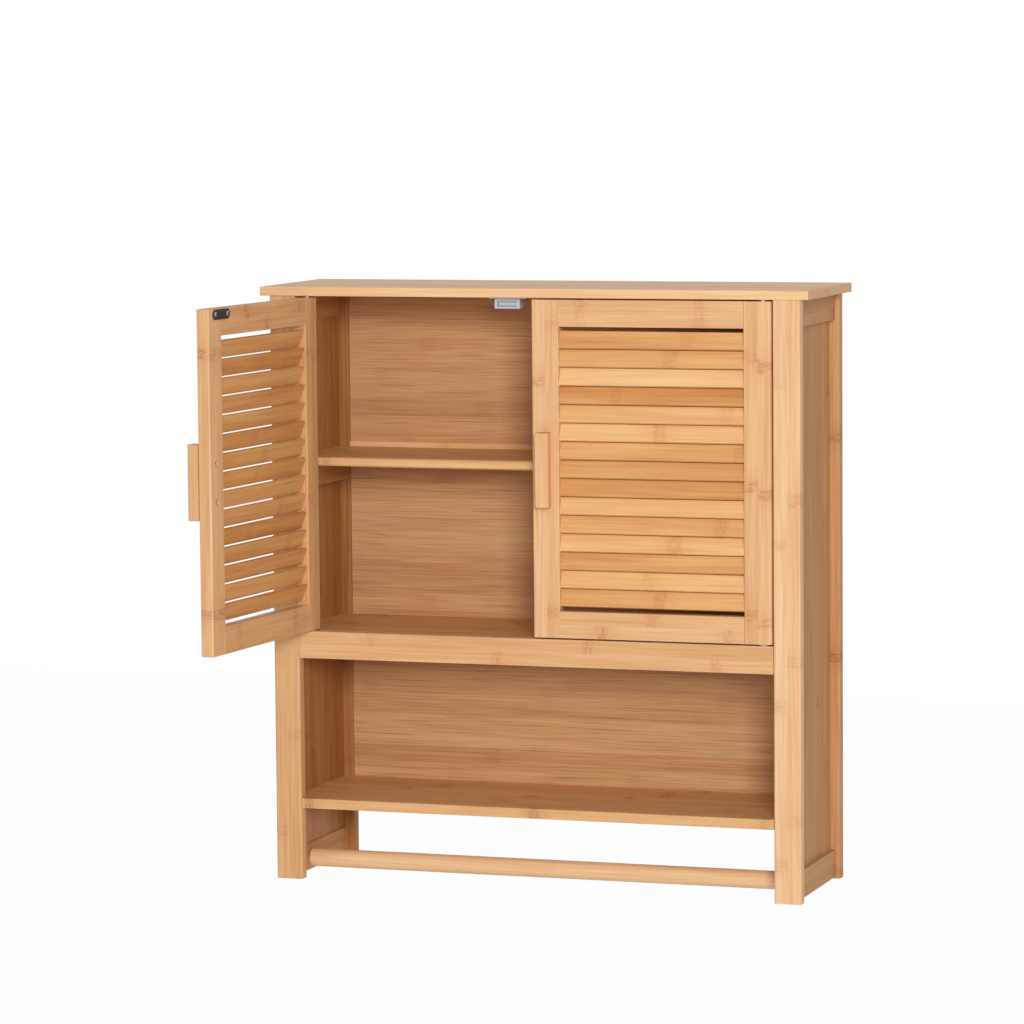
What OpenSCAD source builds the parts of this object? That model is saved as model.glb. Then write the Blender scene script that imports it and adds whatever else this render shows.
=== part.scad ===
// Bathroom wall cabinet in laminated bamboo. Four posts, two panelled sides, a top board, a shelf
// behind two louvred doors, an open compartment below them and a towel bar near the floor of the
// frame. Heights are counted from the lower ends of the posts, the wall is the plane y = 0 and the
// doors face -y. The finished cabinet is lowered so that its wall hangers lie at the origin.

/* [Frame] */
// width over the two sides
frame_width = 600; // [480:1:800]
// depth from the wall to the face of the front posts
frame_depth = 180; // [150:1:300]
// length of the four posts
post_height = 645; // [600:0.5:760]
// width of a post seen from the front
post_width = 30; // [28:0.5:40]
// thickness of a post from front to back
post_thick = 15; // [13:0.5:20]
// radius on the long edges of the posts
post_edge = 2.5; // [1:0.1:3]

/* [Top board] */
// thickness of the top board
top_thick = 10; // [10:0.5:20]
// how far the top board stands out past each side
top_side_overhang = 10; // [0:0.5:25]
// how far the top board stands out past the front posts
top_front_overhang = 3; // [0:0.5:20]
// radius on the front and rear edges of the top board
top_edge = 1; // [0.5:0.1:2]
// how deep the upper back panel enters the top board
top_groove = 3; // [2:0.5:4]

/* [Sides] */
// height of the rails of the sides
side_rail_height = 30; // [28:0.5:50]
// thickness of the rails of the sides
side_rail_thick = 15; // [14:0.5:25]
// distance of the middle of the side rails from the outer faces of the posts
side_rail_inset = 12.5; // [11.5:0.5:13.5]
// height of the lower side rails above the ends of the posts
side_rail_lift = 2; // [0:0.5:20]
// radius on the long edges of all the rails
rail_edge = 1; // [0.5:0.1:2]
// thickness of the side panels
side_panel_thick = 7; // [6:0.5:10]
// distance of the middle of the side panels from the outer faces of the posts
side_panel_inset = 14.5; // [13.5:0.5:15.5]
// how deep a panel enters the posts and rails around it
groove_depth = 5; // [3:0.5:6]

/* [Back] */
// thickness of the back panels
back_panel_thick = 4; // [3:0.5:6]
// how far the back panels lie behind the faces of the rear posts
back_reveal = 2.5; // [1:0.5:4]
// height of the rail across the back behind the mid shelf
cross_rail_height = 30; // [24:0.5:40]
// how far the rail across the back stands above the mid shelf
cross_rail_lip = 5.8; // [2:0.1:10]
// height of the rail behind the cabinet floor
rear_rail_height = 30; // [20:0.5:40]

/* [Shelves] */
// height of the upper face of the mid shelf
mid_shelf_top = 467; // [380:0.5:540]
// thickness of the mid shelf
mid_shelf_thick = 10; // [8:0.5:14]
// gap between the mid shelf and the swinging hinge side edge of a door
mid_shelf_clearance = 2; // [1:0.5:40]
// radius on the front edge of the mid shelf
mid_shelf_edge = 3.8; // [1:0.1:3.9]
// height of the upper face of the cabinet floor
floor_top = 276.5; // [230:0.5:330]
// thickness of the cabinet floor
floor_thick = 10; // [8:0.5:14]
// height of the rail in front of the cabinet floor
front_rail_height = 30; // [28:0.5:40]
// height of the upper face of the low shelf
low_shelf_height = 90.5; // [50:0.5:180]
// thickness of the low shelf
low_shelf_thick = 11; // [8:0.5:16]
// how deep the ends of the low shelf enter the side panels
low_shelf_housing = 3; // [2:0.5:4]
// thickness of the cleats under the mid shelf and the floor
cleat_thick = 12; // [8:0.5:16]
// height of the cleats under the mid shelf
shelf_cleat_height = 26; // [16:0.5:34]
// height of the cleats under the floor
floor_cleat_height = 20; // [14:0.5:30]

/* [Towel bar] */
// diameter of the towel bar
bar_dia = 20; // [12:0.5:22]
// height of the axis of the towel bar above the lower edge of the side rails
bar_rise = 12.5; // [11.5:0.5:14]
// distance of the axis of the towel bar behind the face of the front posts
bar_setback = 60; // [40:1:90]
// how deep the towel bar enters the lower side rails
bar_socket = 10; // [6:0.5:12]

/* [Doors] */
// angle of the left door, closed at 0
left_door_angle = 94; // [0:1:110]
// angle of the right door, closed at 0
right_door_angle = 0; // [0:1:110]
// thickness of a door
door_thick = 14.5; // [12.5:0.5:16]
// gap between a door and the post on its hinge side
door_side_gap = 1.7; // [1.2:0.1:4]
// gap between the two closed doors
door_middle_gap = 4; // [2:0.5:8]
// gap above a door
door_top_gap = 1.8; // [1.8:0.1:3]
// gap below a door
door_bottom_gap = 1.6; // [1.6:0.1:3]
// width of the stiles of a door
stile_width = 30; // [28:0.5:44]
// height of the rails of a door
door_rail_height = 29; // [24:0.5:50]
// radius on the hinge side edges of a door
hinge_edge = 3; // [2:0.1:5]
// radius on the free side edges of a door
free_edge = 2; // [1:0.1:5]

/* [Slats] */
// height from one slat to the next
slat_pitch = 19.9; // [17:0.1:26]
// width of a slat
slat_width = 18.5; // [14:0.1:20]
// thickness of a slat
slat_thick = 5; // [3:0.1:6]
// lean of a slat from upright, lower edge outwards
slat_lean = 21; // [17:0.5:28]
// radius on the edges of a slat
slat_edge = 2; // [0.5:0.1:2.2]
// how deep the ends of a slat enter the stiles
slat_housing = 4; // [3:0.5:6]

/* [Pivots] */
// distance from the hinge side edge of a door to its pivot axis
pivot_inset = 10; // [8:0.1:12]
// diameter of the pivot pins
pivot_dia = 5; // [4:0.1:6]
// how deep a pivot pin is set in a door
pivot_seat = 18; // [12:0.5:22]
// how deep a pivot pin enters its bushing
pivot_reach = 6; // [4:0.5:6]
// diameter of the collar of a pivot pin
collar_dia = 9; // [7:0.1:12]
// thickness of the collar of a pivot pin
collar_thick = 0.5; // [0.3:0.1:0.7]
// outer diameter of a bushing
bushing_dia = 8; // [7:0.1:8.5]
// depth of a bushing in the wood
bushing_depth = 8; // [7:0.5:8.5]
// diameter of the flange of a bushing
flange_dia = 10; // [9:0.1:12]
// thickness of the flange of a bushing
flange_thick = 0.8; // [0.5:0.1:1]
// gap beyond the end of a pivot pin in its bushing
pivot_end_gap = 0.5; // [0.3:0.1:1]
// gap all round a pivot pin in its bushing
pivot_clearance = 0.06; // [0.03:0.01:0.1]

/* [Handles] */
// length of a handle
handle_length = 80.5; // [66:0.5:140]
// width of a handle
handle_width = 15; // [12:0.5:18]
// how far a handle stands out from its door
handle_depth = 16.5; // [12:0.5:18]
// depth of the grip of a handle, in front of its neck
grip_depth = 8; // [6:0.5:9]
// radius on the long edges of the grip
grip_edge = 2; // [1:0.1:3]
// width of the neck of a handle
neck_width = 12.5; // [8:0.5:14]
// distance between the two screws of a handle
handle_screw_pitch = 41; // [24:1:64]
// diameter of the shank of a handle screw
handle_screw_dia = 3.4; // [3:0.1:4]
// diameter of the head of a handle screw
handle_head_dia = 7; // [6:0.1:7.4]
// thickness of the head of a handle screw
handle_head_thick = 2.2; // [1.8:0.1:2.6]
// diameter of the counterbore for a handle screw
handle_counterbore_dia = 8; // [7.6:0.1:9]
// depth of the counterbore for a handle screw
handle_counterbore = 5; // [3:0.5:7]
// how deep a handle screw enters the handle
handle_screw_grip = 8; // [6:0.5:9]

/* [Catches] */
// distance of the middle of a catch from the joint between the free stile and the top rail
catch_shift = 1; // [0:0.5:1.5]
// drop from the top of a door to the middle of its strike plate
strike_drop = 6.2; // [5.6:0.1:8]
// width of the housing of a catch
catch_width = 29; // [26:0.5:34]
// depth of the housing of a catch from front to back
catch_depth = 13; // [12.5:0.5:24]
// thickness of the housing of a catch below the pole plates
catch_wall = 2; // [1:0.5:4]
// how far each ear of a catch stands out of the housing
ear_reach = 7; // [6:0.5:10]
// thickness of the ears of a catch
ear_thick = 2.5; // [2:0.1:3]
// depth of the ears of a catch from front to back
ear_depth = 9; // [8:0.5:12]
// radius on the corners of the ears of a catch
ear_corner = 2; // [0.5:0.5:4]
// gap between the pole plates of a catch and the strike plate
catch_gap = 0.3; // [0.3:0.1:2]
// width of the magnet
magnet_width = 21; // [16:0.5:22]
// depth of the magnet from front to back
magnet_depth = 9; // [6:0.5:10]
// thickness of the magnet
magnet_thick = 4; // [3:0.5:5]
// thickness of a pole plate
pole_thick = 1; // [0.8:0.1:1.2]
// depth of a pole plate from front to back
pole_depth = 11; // [10.5:0.5:12]
// how far the pole plates reach past each side of the magnet
magnet_side_gap = 0.5; // [0.2:0.1:1]
// how far the pole plates stand out of the housing
pole_stand = 1; // [0.6:0.1:1.5]
// length of a strike plate
strike_length = 39.4; // [38:0.2:44]
// height of a strike plate
strike_height = 11; // [9:0.2:11]
// thickness of a strike plate
strike_thick = 1.2; // [1.2:0.1:2]

/* [Wall hangers] */
// drop from the top of the posts to the round holes of the wall hangers
hanger_drop = 53.5; // [50:0.5:120]
// width of a hanger plate
hanger_width = 18; // [14:0.5:20]
// height of a hanger plate
hanger_length = 50; // [46:0.5:60]
// thickness of a hanger plate
hanger_thick = 1.5; // [1.5:0.1:2]
// radius on the corners of a hanger plate
hanger_corner = 3; // [1:0.1:5]
// diameter of the round hole of a hanger plate
keyhole_dia = 9; // [8:0.1:10]
// width of the slot above the round hole
keyhole_slot = 4.6; // [4:0.1:5]
// height of the slot above the middle of the round hole
keyhole_rise = 10; // [8:0.5:11]
// distance from the middle of a hanger plate to each of its screws
hanger_screw_reach = 20; // [18:0.5:24]
// depth of the hollow for the head of the wall screw
head_hollow = 6; // [5:0.5:6.5]
// width of the hollow for the head of the wall screw
head_hollow_width = 12; // [11:0.5:12]
// how far that hollow reaches above the top of the slot's axis
head_hollow_top = 4; // [4:0.5:5]

/* [Small fasteners] */
// diameter of the shank of a small screw
screw_dia = 2.8; // [2.4:0.1:3]
// diameter of the head of a small screw
screw_head_dia = 5.6; // [5:0.1:5.8]
// height of the head of a small screw
screw_head = 1.2; // [1:0.1:1.2]
// depth of the pilot hole of a small screw in the wood
screw_grip = 7; // [5:0.5:7]
// gap beyond the tip of a screw in its pilot hole
screw_tip_gap = 0.8; // [0.3:0.1:1]
// diameter of the dowels
dowel_dia = 6; // [5:0.5:6]
// length of the dowels of the frame
frame_dowel = 24; // [20:0.5:24]
// length of the dowels of the doors
door_dowel = 20; // [16:0.5:20]
// distance of the outer dowel of a side rail from the edge of the rail
rail_dowel_inset = 6.5; // [5:0.5:8]
// distance between the two dowels at the end of a side rail
rail_dowel_pitch = 12; // [8:0.5:12]
// distance of the lower dowel of the front rail from the lower edge of the rail
front_dowel_inset = 6; // [5:0.5:7]
// distance between the two dowels at the end of the front rail
front_dowel_pitch = 10; // [7:0.5:10]
// distance between the two dowels at the end of a door rail
door_dowel_pitch = 16; // [10:0.5:18]
// distance of the dowels in the top of the posts from the outer side of the post
top_dowel_inset = 6.5; // [5:0.5:7]
// depth of a frame dowel in the posts
dowel_in_post = 9; // [8:0.5:9]
// depth of an upright dowel in the top board
dowel_in_top = 7; // [5:0.5:7]
// wood between the end of a front rail dowel and the groove for the side panel
dowel_end_wood = 1; // [0.5:0.5:2]
// gap all round pegs and pins that are set in wood
set_clearance = 0.03; // [0.02:0.01:0.05]
// gap between a screw and the hole of the piece that it holds
pass_clearance = 0.2; // [0.1:0.05:0.3]

/* [Hidden] */
$fn = 48;
bamboo = [0.87, 0.69, 0.47];
bamboo_side = [0.80, 0.61, 0.39];
bamboo_inside = [0.72, 0.50, 0.31];
dowel_wood = [0.82, 0.68, 0.48];
steel = [0.70, 0.71, 0.73];
dark_steel = [0.20, 0.20, 0.21];
magnet_nickel = [0.66, 0.66, 0.69];
pale_plastic = [0.84, 0.86, 0.90];

// how far a cut runs past the face it opens
cut_over = 1;
half_width = frame_width / 2;
inner_x = half_width - post_width;
post_x = half_width - post_width / 2;
panel_x = half_width - side_panel_inset;
panel_in_x = panel_x - side_panel_thick / 2;
rail_x = half_width - side_rail_inset;
rail_in_x = rail_x - side_rail_thick / 2;
front_y = -frame_depth;
front_back_y = front_y + post_thick;
rear_face_y = -post_thick;
back_front_y = rear_face_y + back_reveal;
back_rear_y = back_front_y + back_panel_thick;
panel_low = side_rail_lift + side_rail_height - groove_depth;
panel_high = post_height - side_rail_height + groove_depth;
floor_low = floor_top - floor_thick;
mid_shelf_low = mid_shelf_top - mid_shelf_thick;
low_shelf_low = low_shelf_height - low_shelf_thick;
cross_rail_top = mid_shelf_top + cross_rail_lip;
cross_rail_low = cross_rail_top - cross_rail_height;
rear_rail_low = floor_low - rear_rail_height;
bar_y = front_y + bar_setback;
bar_height = side_rail_lift + bar_rise;
hanger_height = post_height - hanger_drop;
top_dowel_x = half_width - top_dowel_inset;
front_rail_low = floor_top - front_rail_height;
front_dowel_in_post = panel_in_x - inner_x - dowel_end_wood;

door_x = inner_x - door_side_gap;
door_free_x = door_middle_gap / 2;
door_low = floor_top + door_bottom_gap;
door_high = post_height - door_top_gap;
door_height = door_high - door_low;
door_in_y = front_y + door_thick;
door_mid_y = front_y + door_thick / 2;
pivot_x = door_x - pivot_inset;
free_stile_x = door_free_x + stile_width;
hinge_stile_x = door_x - stile_width;
opening_mid_z = (door_low + door_high) / 2;
opening_height = door_height - 2 * door_rail_height;
slat_rise = slat_width * cos(slat_lean) + slat_thick * sin(slat_lean);
slat_count = floor((opening_height - slat_rise) / slat_pitch) + 1;
swing_reach = hinge_edge + norm([pivot_inset - hinge_edge, door_thick / 2 - hinge_edge]);
mid_shelf_front = door_mid_y + swing_reach + mid_shelf_clearance;
handle_x = door_free_x + stile_width / 2;
strike_z = door_high - strike_drop;
strike_screw_pitch = strike_length - strike_height;
catch_x = free_stile_x - catch_shift;
pole_stack = magnet_thick + 2 * pole_thick;
pole_width = magnet_width + 2 * magnet_side_gap;
catch_low = strike_z - pole_stack / 2 - catch_wall;
ear_span = catch_width + 2 * ear_reach;
strike_face_y = door_in_y + strike_thick;
pole_front_y = strike_face_y + catch_gap;
housing_front_y = pole_front_y + pole_stand;
ear_y = housing_front_y + catch_depth / 2;
ear_screw_x = (catch_width + ear_reach) / 2;

// rectangle with rounded corners
module rounded_rect(w, h, r) {
    square([w - 2 * r, h], center = true);
    square([w, h - 2 * r], center = true);
    for (sx = [-1, 1], sy = [-1, 1])
        translate([sx * (w / 2 - r), sy * (h / 2 - r)])
            circle(r = r);
}

// square-cut block between two corners
module block(low, high) {
    translate(low)
        cube(high - low);
}

// bar along x with rounded long edges
module bar_along_x(x0, x1, y0, y1, z0, z1, r) {
    translate([x0, (y0 + y1) / 2, (z0 + z1) / 2])
        rotate([90, 0, 90])
            linear_extrude(height = x1 - x0)
                rounded_rect(y1 - y0, z1 - z0, r);
}

// bar along y with rounded long edges
module bar_along_y(x0, x1, y0, y1, z0, z1, r) {
    translate([(x0 + x1) / 2, y1, (z0 + z1) / 2])
        rotate([90, 0, 0])
            linear_extrude(height = y1 - y0)
                rounded_rect(x1 - x0, z1 - z0, r);
}

// upright bar with rounded long edges
module bar_along_z(x0, x1, y0, y1, z0, z1, r) {
    translate([(x0 + x1) / 2, (y0 + y1) / 2, z0])
        linear_extrude(height = z1 - z0)
            rounded_rect(x1 - x0, y1 - y0, r);
}

// strip with half round ends
module obround(w, h) {
    square([w - h, h], center = true);
    for (s = [-1, 1])
        translate([s * (w - h) / 2, 0])
            circle(d = h);
}

module rod_x(x0, x1, y, z, d) {
    translate([x0, y, z])
        rotate([0, 90, 0])
            cylinder(d = d, h = x1 - x0);
}

module rod_y(x, y0, y1, z, d) {
    translate([x, y1, z])
        rotate([90, 0, 0])
            cylinder(d = d, h = y1 - y0);
}

module rod_z(x, y, z0, z1, d) {
    translate([x, y, z0])
        cylinder(d = d, h = z1 - z0);
}

// lowers the cabinet so that its wall hangers lie at the origin
module hung() {
    translate([0, 0, -hanger_height])
        children();
}

// the piece, or its mirror image on the right hand side
module on_side(side) {
    if (side < 0)
        children();
    else
        mirror([1, 0, 0])
            children();
}

// turns a piece of the closed left door about its pivot axis, or its mirror image
module on_door(side) {
    angle = side < 0 ? left_door_angle : right_door_angle;
    on_side(side)
        translate([-pivot_x, door_mid_y, 0])
            rotate([0, 0, -angle])
                translate([pivot_x, -door_mid_y, 0])
                    children();
}

// dowels from the side rails into the posts, for the left side
module side_rail_dowels(extra) {
    d = dowel_dia + 2 * extra;
    front_start = front_back_y - dowel_in_post;
    rear_end = rear_face_y + dowel_in_post;
    for (inset = [rail_dowel_inset, rail_dowel_inset + rail_dowel_pitch],
         z = [side_rail_lift + inset, post_height - inset]) {
        rod_y(-panel_x, front_start, front_start + frame_dowel, z, d);
        rod_y(-panel_x, rear_end - frame_dowel, rear_end, z, d);
    }
}

// dowels from the front rail into the left front post
module front_rail_dowels(extra) {
    start = -inner_x - front_dowel_in_post;
    for (rise = [front_dowel_inset, front_dowel_inset + front_dowel_pitch])
        rod_x(start, start + frame_dowel, front_y + post_thick / 2, front_rail_low + rise,
              dowel_dia + 2 * extra);
}

// upright dowels from the left posts into the top board
module top_dowels(extra) {
    for (y = [front_y + post_thick / 2, rear_face_y / 2])
        rod_z(-top_dowel_x, y, post_height + dowel_in_top - frame_dowel, post_height + dowel_in_top,
              dowel_dia + 2 * extra);
}

// screws with a countersunk head: the face of the head is at the origin and the shank runs to +z
module countersunk_screw(reach) {
    cylinder(d1 = screw_head_dia, d2 = screw_dia, h = screw_head);
    translate([0, 0, screw_head])
        cylinder(d = screw_dia, h = reach - screw_head);
}

// the hole for such a screw through a plate, and its pilot hole in the wood
module countersunk_hole(reach) {
    gap = 2 * set_clearance;
    cylinder(d1 = screw_head_dia + gap, d2 = screw_dia + gap, h = screw_head);
    translate([0, 0, screw_head])
        cylinder(d = screw_dia + gap, h = reach - screw_head);
}

// front or rear post of the left side
module front_post() {
    difference() {
        bar_along_z(-half_width, -inner_x, front_y, front_back_y, 0, post_height, post_edge);
        block([-panel_x - side_panel_thick / 2, front_back_y - groove_depth, panel_low],
              [-panel_in_x, front_back_y + cut_over, panel_high]);
        side_rail_dowels(set_clearance);
        front_rail_dowels(set_clearance);
        top_dowels(set_clearance);
    }
}

module rear_post() {
    difference() {
        bar_along_z(-half_width, -inner_x, rear_face_y, 0, 0, post_height, post_edge);
        block([-panel_x - side_panel_thick / 2, rear_face_y - cut_over, panel_low],
              [-panel_in_x, rear_face_y + groove_depth, panel_high]);
        block([-inner_x - groove_depth, back_front_y, -cut_over],
              [-inner_x + cut_over, back_rear_y, post_height + cut_over]);
        side_rail_dowels(set_clearance);
        top_dowels(set_clearance);
        hanger_recess();
    }
}

// seat of the hanger plate, hollow for the head of the wall screw and pilot holes
module hanger_recess() {
    translate([-post_x, 0, hanger_height])
        rotate([90, 0, 0])
            translate([0, 0, -cut_over])
                linear_extrude(height = hanger_thick + cut_over)
                    rounded_rect(hanger_width, hanger_length, hanger_corner);
    block([-post_x - head_hollow_width / 2, -head_hollow, hanger_height - head_hollow_width / 2],
          [-post_x + head_hollow_width / 2, cut_over, hanger_height + keyhole_rise + head_hollow_top]);
    for (dz = [-1, 1])
        translate([-post_x, 0, hanger_height + dz * hanger_screw_reach])
            rotate([90, 0, 0])
                countersunk_hole(hanger_thick + screw_grip);
}

// keyhole plate on the back of the left rear post
module hanger_plate() {
    translate([-post_x, 0, hanger_height])
        rotate([90, 0, 0])
            difference() {
                linear_extrude(height = hanger_thick)
                    difference() {
                        rounded_rect(hanger_width, hanger_length, hanger_corner);
                        circle(d = keyhole_dia);
                        translate([-keyhole_slot / 2, 0])
                            square([keyhole_slot, keyhole_rise]);
                        translate([0, keyhole_rise])
                            circle(d = keyhole_slot);
                    }
                for (dy = [-1, 1])
                    translate([0, dy * hanger_screw_reach, 0])
                        countersunk_hole(hanger_thick + screw_grip);
            }
}

module hanger_screw_pair() {
    for (dz = [-1, 1])
        translate([-post_x, 0, hanger_height + dz * hanger_screw_reach])
            rotate([90, 0, 0])
                countersunk_screw(hanger_thick + screw_grip - screw_tip_gap);
}

// rails of the left side, between the posts
module side_rail(z0) {
    bar_along_y(-rail_x - side_rail_thick / 2, -rail_in_x, front_back_y, rear_face_y,
                z0, z0 + side_rail_height, rail_edge);
}

module top_side_rail() {
    difference() {
        side_rail(post_height - side_rail_height);
        block([-panel_x - side_panel_thick / 2, front_back_y - cut_over,
               post_height - side_rail_height - cut_over],
              [-panel_in_x, rear_face_y + cut_over, panel_high]);
        side_rail_dowels(set_clearance);
    }
}

module bottom_side_rail() {
    difference() {
        side_rail(side_rail_lift);
        block([-panel_x - side_panel_thick / 2, front_back_y - cut_over, panel_low],
              [-panel_in_x, rear_face_y + cut_over, side_rail_lift + side_rail_height + cut_over]);
        side_rail_dowels(set_clearance);
        rod_x(-rail_in_x - bar_socket, -rail_in_x + cut_over, bar_y, bar_height,
              bar_dia + 2 * set_clearance);
    }
}

// left side panel, grooved for the end of the low shelf
module side_panel() {
    difference() {
        block([-panel_x - side_panel_thick / 2, front_back_y - groove_depth, panel_low],
              [-panel_in_x, rear_face_y + groove_depth, panel_high]);
        block([-panel_in_x - low_shelf_housing, front_back_y, low_shelf_low],
              [-panel_in_x + cut_over, rear_face_y, low_shelf_height]);
    }
}

module cleat(top_z, height, y0) {
    bar_along_y(-panel_in_x, -panel_in_x + cleat_thick, y0, rear_face_y, top_z - height, top_z, rail_edge);
}

module top_board_solid() {
    difference() {
        bar_along_x(-half_width - top_side_overhang, half_width + top_side_overhang,
                    front_y - top_front_overhang, 0, post_height, post_height + top_thick, top_edge);
        block([-inner_x - groove_depth, back_front_y, post_height - cut_over],
              [inner_x + groove_depth, back_rear_y, post_height + top_groove]);
        for (side = [-1, 1])
            on_side(side) {
                top_dowels(set_clearance);
                rod_z(-pivot_x, door_mid_y, post_height - cut_over, post_height + bushing_depth,
                      bushing_dia + 2 * set_clearance);
                for (dx = [-1, 1])
                    rod_z(-catch_x + dx * ear_screw_x, ear_y, post_height - cut_over,
                          post_height + screw_grip, screw_dia + 2 * set_clearance);
            }
    }
}

module mid_shelf_solid() {
    bar_along_x(-panel_in_x, panel_in_x, mid_shelf_front, rear_face_y, mid_shelf_low, mid_shelf_top,
                mid_shelf_edge);
    block([-panel_in_x, rear_face_y - mid_shelf_thick, mid_shelf_low],
          [panel_in_x, rear_face_y, mid_shelf_top]);
}

// floor between the side panels, with a tongue between the rear posts
module floor_solid() {
    block([-panel_in_x, front_back_y, floor_low], [panel_in_x, rear_face_y, floor_top]);
    block([-inner_x, rear_face_y - cut_over, floor_low], [inner_x, back_front_y, floor_top]);
}

module front_rail_solid() {
    difference() {
        bar_along_x(-inner_x, inner_x, front_y, front_back_y, front_rail_low, floor_top, rail_edge);
        for (side = [-1, 1])
            on_side(side) {
                front_rail_dowels(set_clearance);
                rod_z(-pivot_x, door_mid_y, floor_top - bushing_depth, floor_top + cut_over,
                      bushing_dia + 2 * set_clearance);
            }
    }
}

// rail between the rear posts, with tongues in their grooves and grooves for the back panels
module back_rail(z0, z1) {
    difference() {
        union() {
            bar_along_x(-inner_x, inner_x, rear_face_y, 0, z0, z1, rail_edge);
            block([-inner_x - groove_depth, back_front_y, z0], [inner_x + groove_depth, back_rear_y, z1]);
        }
        for (z = [z0, z1])
            block([-inner_x - groove_depth - cut_over, back_front_y, z - groove_depth],
                  [inner_x + groove_depth + cut_over, back_rear_y, z + groove_depth]);
    }
}

module back_panel(z0, z1) {
    block([-inner_x - groove_depth, back_front_y, z0], [inner_x + groove_depth, back_rear_y, z1]);
}

// low shelf, notched round the posts and housed in the side panels
module low_shelf_solid() {
    difference() {
        union() {
            block([-inner_x, front_y, low_shelf_low], [inner_x, 0, low_shelf_height]);
            block([-panel_in_x - low_shelf_housing, front_back_y, low_shelf_low],
                  [panel_in_x + low_shelf_housing, rear_face_y, low_shelf_height]);
        }
        block([-inner_x - cut_over, back_front_y, low_shelf_height - top_groove],
              [inner_x + cut_over, back_rear_y, low_shelf_height + cut_over]);
    }
}

// outline of a stile of the left door: the outer side has its own edge radius
module stile_outline(outer_r, inner_r) {
    half = door_thick / 2;
    translate([outer_r, -half])
        square([stile_width - outer_r - inner_r, door_thick]);
    translate([0, -half + outer_r])
        square([outer_r + 0.5, door_thick - 2 * outer_r]);
    translate([stile_width - inner_r - 0.5, -half + inner_r])
        square([inner_r + 0.5, door_thick - 2 * inner_r]);
    for (s = [-1, 1]) {
        translate([outer_r, s * (half - outer_r)])
            circle(r = outer_r);
        translate([stile_width - inner_r, s * (half - inner_r)])
            circle(r = inner_r);
    }
}

// outline of a slat in the y z plane, with its lower edge outwards
module slat_outline(extra) {
    rotate([0, 0, -slat_lean])
        rounded_rect(slat_thick + 2 * extra, slat_width + 2 * extra, slat_edge + extra);
}

module slats(reach, extra) {
    for (i = [0 : slat_count - 1])
        translate([-hinge_stile_x - reach, door_mid_y,
                   opening_mid_z + (i - (slat_count - 1) / 2) * slat_pitch])
            rotate([90, 0, 90])
                linear_extrude(height = hinge_stile_x - free_stile_x + 2 * reach)
                    slat_outline(extra);
}

// dowels between the rails and stiles of the left door
module door_dowels(extra) {
    low_z = door_low + door_rail_height / 2;
    high_z = door_high - door_rail_height / 2;
    for (x = [-hinge_stile_x, -free_stile_x], z = [low_z, high_z], s = [-1, 1])
        rod_x(x - door_dowel / 2, x + door_dowel / 2, door_mid_y, z + s * door_dowel_pitch / 2,
              dowel_dia + 2 * extra);
}

module strike_pilots() {
    for (s = [-1, 1])
        translate([-catch_x + s * strike_screw_pitch / 2, strike_face_y, strike_z])
            rotate([90, 0, 0])
                countersunk_hole(strike_thick + screw_grip);
}

module hinge_stile() {
    difference() {
        translate([-door_x, door_mid_y, door_low])
            linear_extrude(height = door_height)
                stile_outline(hinge_edge, rail_edge);
        slats(slat_housing, set_clearance);
        door_dowels(set_clearance);
        pivot_pins(set_clearance);
    }
}

module free_stile() {
    difference() {
        translate([-door_free_x, door_mid_y, door_low])
            mirror([1, 0, 0])
                linear_extrude(height = door_height)
                    stile_outline(free_edge, rail_edge);
        slats(slat_housing, set_clearance);
        door_dowels(set_clearance);
        strike_pilots();
        for (s = [-1, 1]) {
            z = opening_mid_z + s * handle_screw_pitch / 2;
            rod_y(-handle_x, front_y - cut_over, door_in_y, z, handle_screw_dia + 2 * pass_clearance);
            rod_y(-handle_x, door_in_y - handle_counterbore, door_in_y + cut_over, z,
                  handle_counterbore_dia);
        }
    }
}

module door_rail(z0) {
    difference() {
        bar_along_x(-hinge_stile_x, -free_stile_x, front_y, door_in_y, z0, z0 + door_rail_height,
                    rail_edge);
        door_dowels(set_clearance);
        strike_pilots();
    }
}

// upper and lower pin of the left door, each with its collar
module pivot_pins(extra) {
    d = pivot_dia + 2 * extra;
    rod_z(-pivot_x, door_mid_y, door_high - pivot_seat, post_height + pivot_reach, d);
    rod_z(-pivot_x, door_mid_y, floor_top - pivot_reach, door_low + pivot_seat, d);
    rod_z(-pivot_x, door_mid_y, door_high, door_high + collar_thick, collar_dia);
    rod_z(-pivot_x, door_mid_y, door_low - collar_thick, door_low, collar_dia);
}

// flanged bushing that opens downwards, set in the underside of the top board
module bushing() {
    difference() {
        union() {
            cylinder(d = bushing_dia, h = bushing_depth);
            translate([0, 0, -flange_thick])
                cylinder(d = flange_dia, h = flange_thick);
        }
        translate([0, 0, -flange_thick - cut_over])
            cylinder(d = pivot_dia + 2 * pivot_clearance,
                     h = flange_thick + cut_over + pivot_reach + pivot_end_gap);
    }
}

// outline of a handle: a grip with rounded edges on a narrower neck
module handle_outline() {
    grip_y = -handle_depth + grip_depth / 2;
    translate([0, grip_y])
        rounded_rect(handle_width, grip_depth, grip_edge);
    translate([-neck_width / 2, grip_y])
        square([neck_width, -grip_y]);
}

module handle_solid() {
    difference() {
        translate([-handle_x, front_y, opening_mid_z - handle_length / 2])
            linear_extrude(height = handle_length)
                handle_outline();
        for (s = [-1, 1])
            rod_y(-handle_x, front_y - handle_screw_grip - screw_tip_gap, front_y + cut_over,
                  opening_mid_z + s * handle_screw_pitch / 2, handle_screw_dia + 2 * set_clearance);
    }
}

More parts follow.
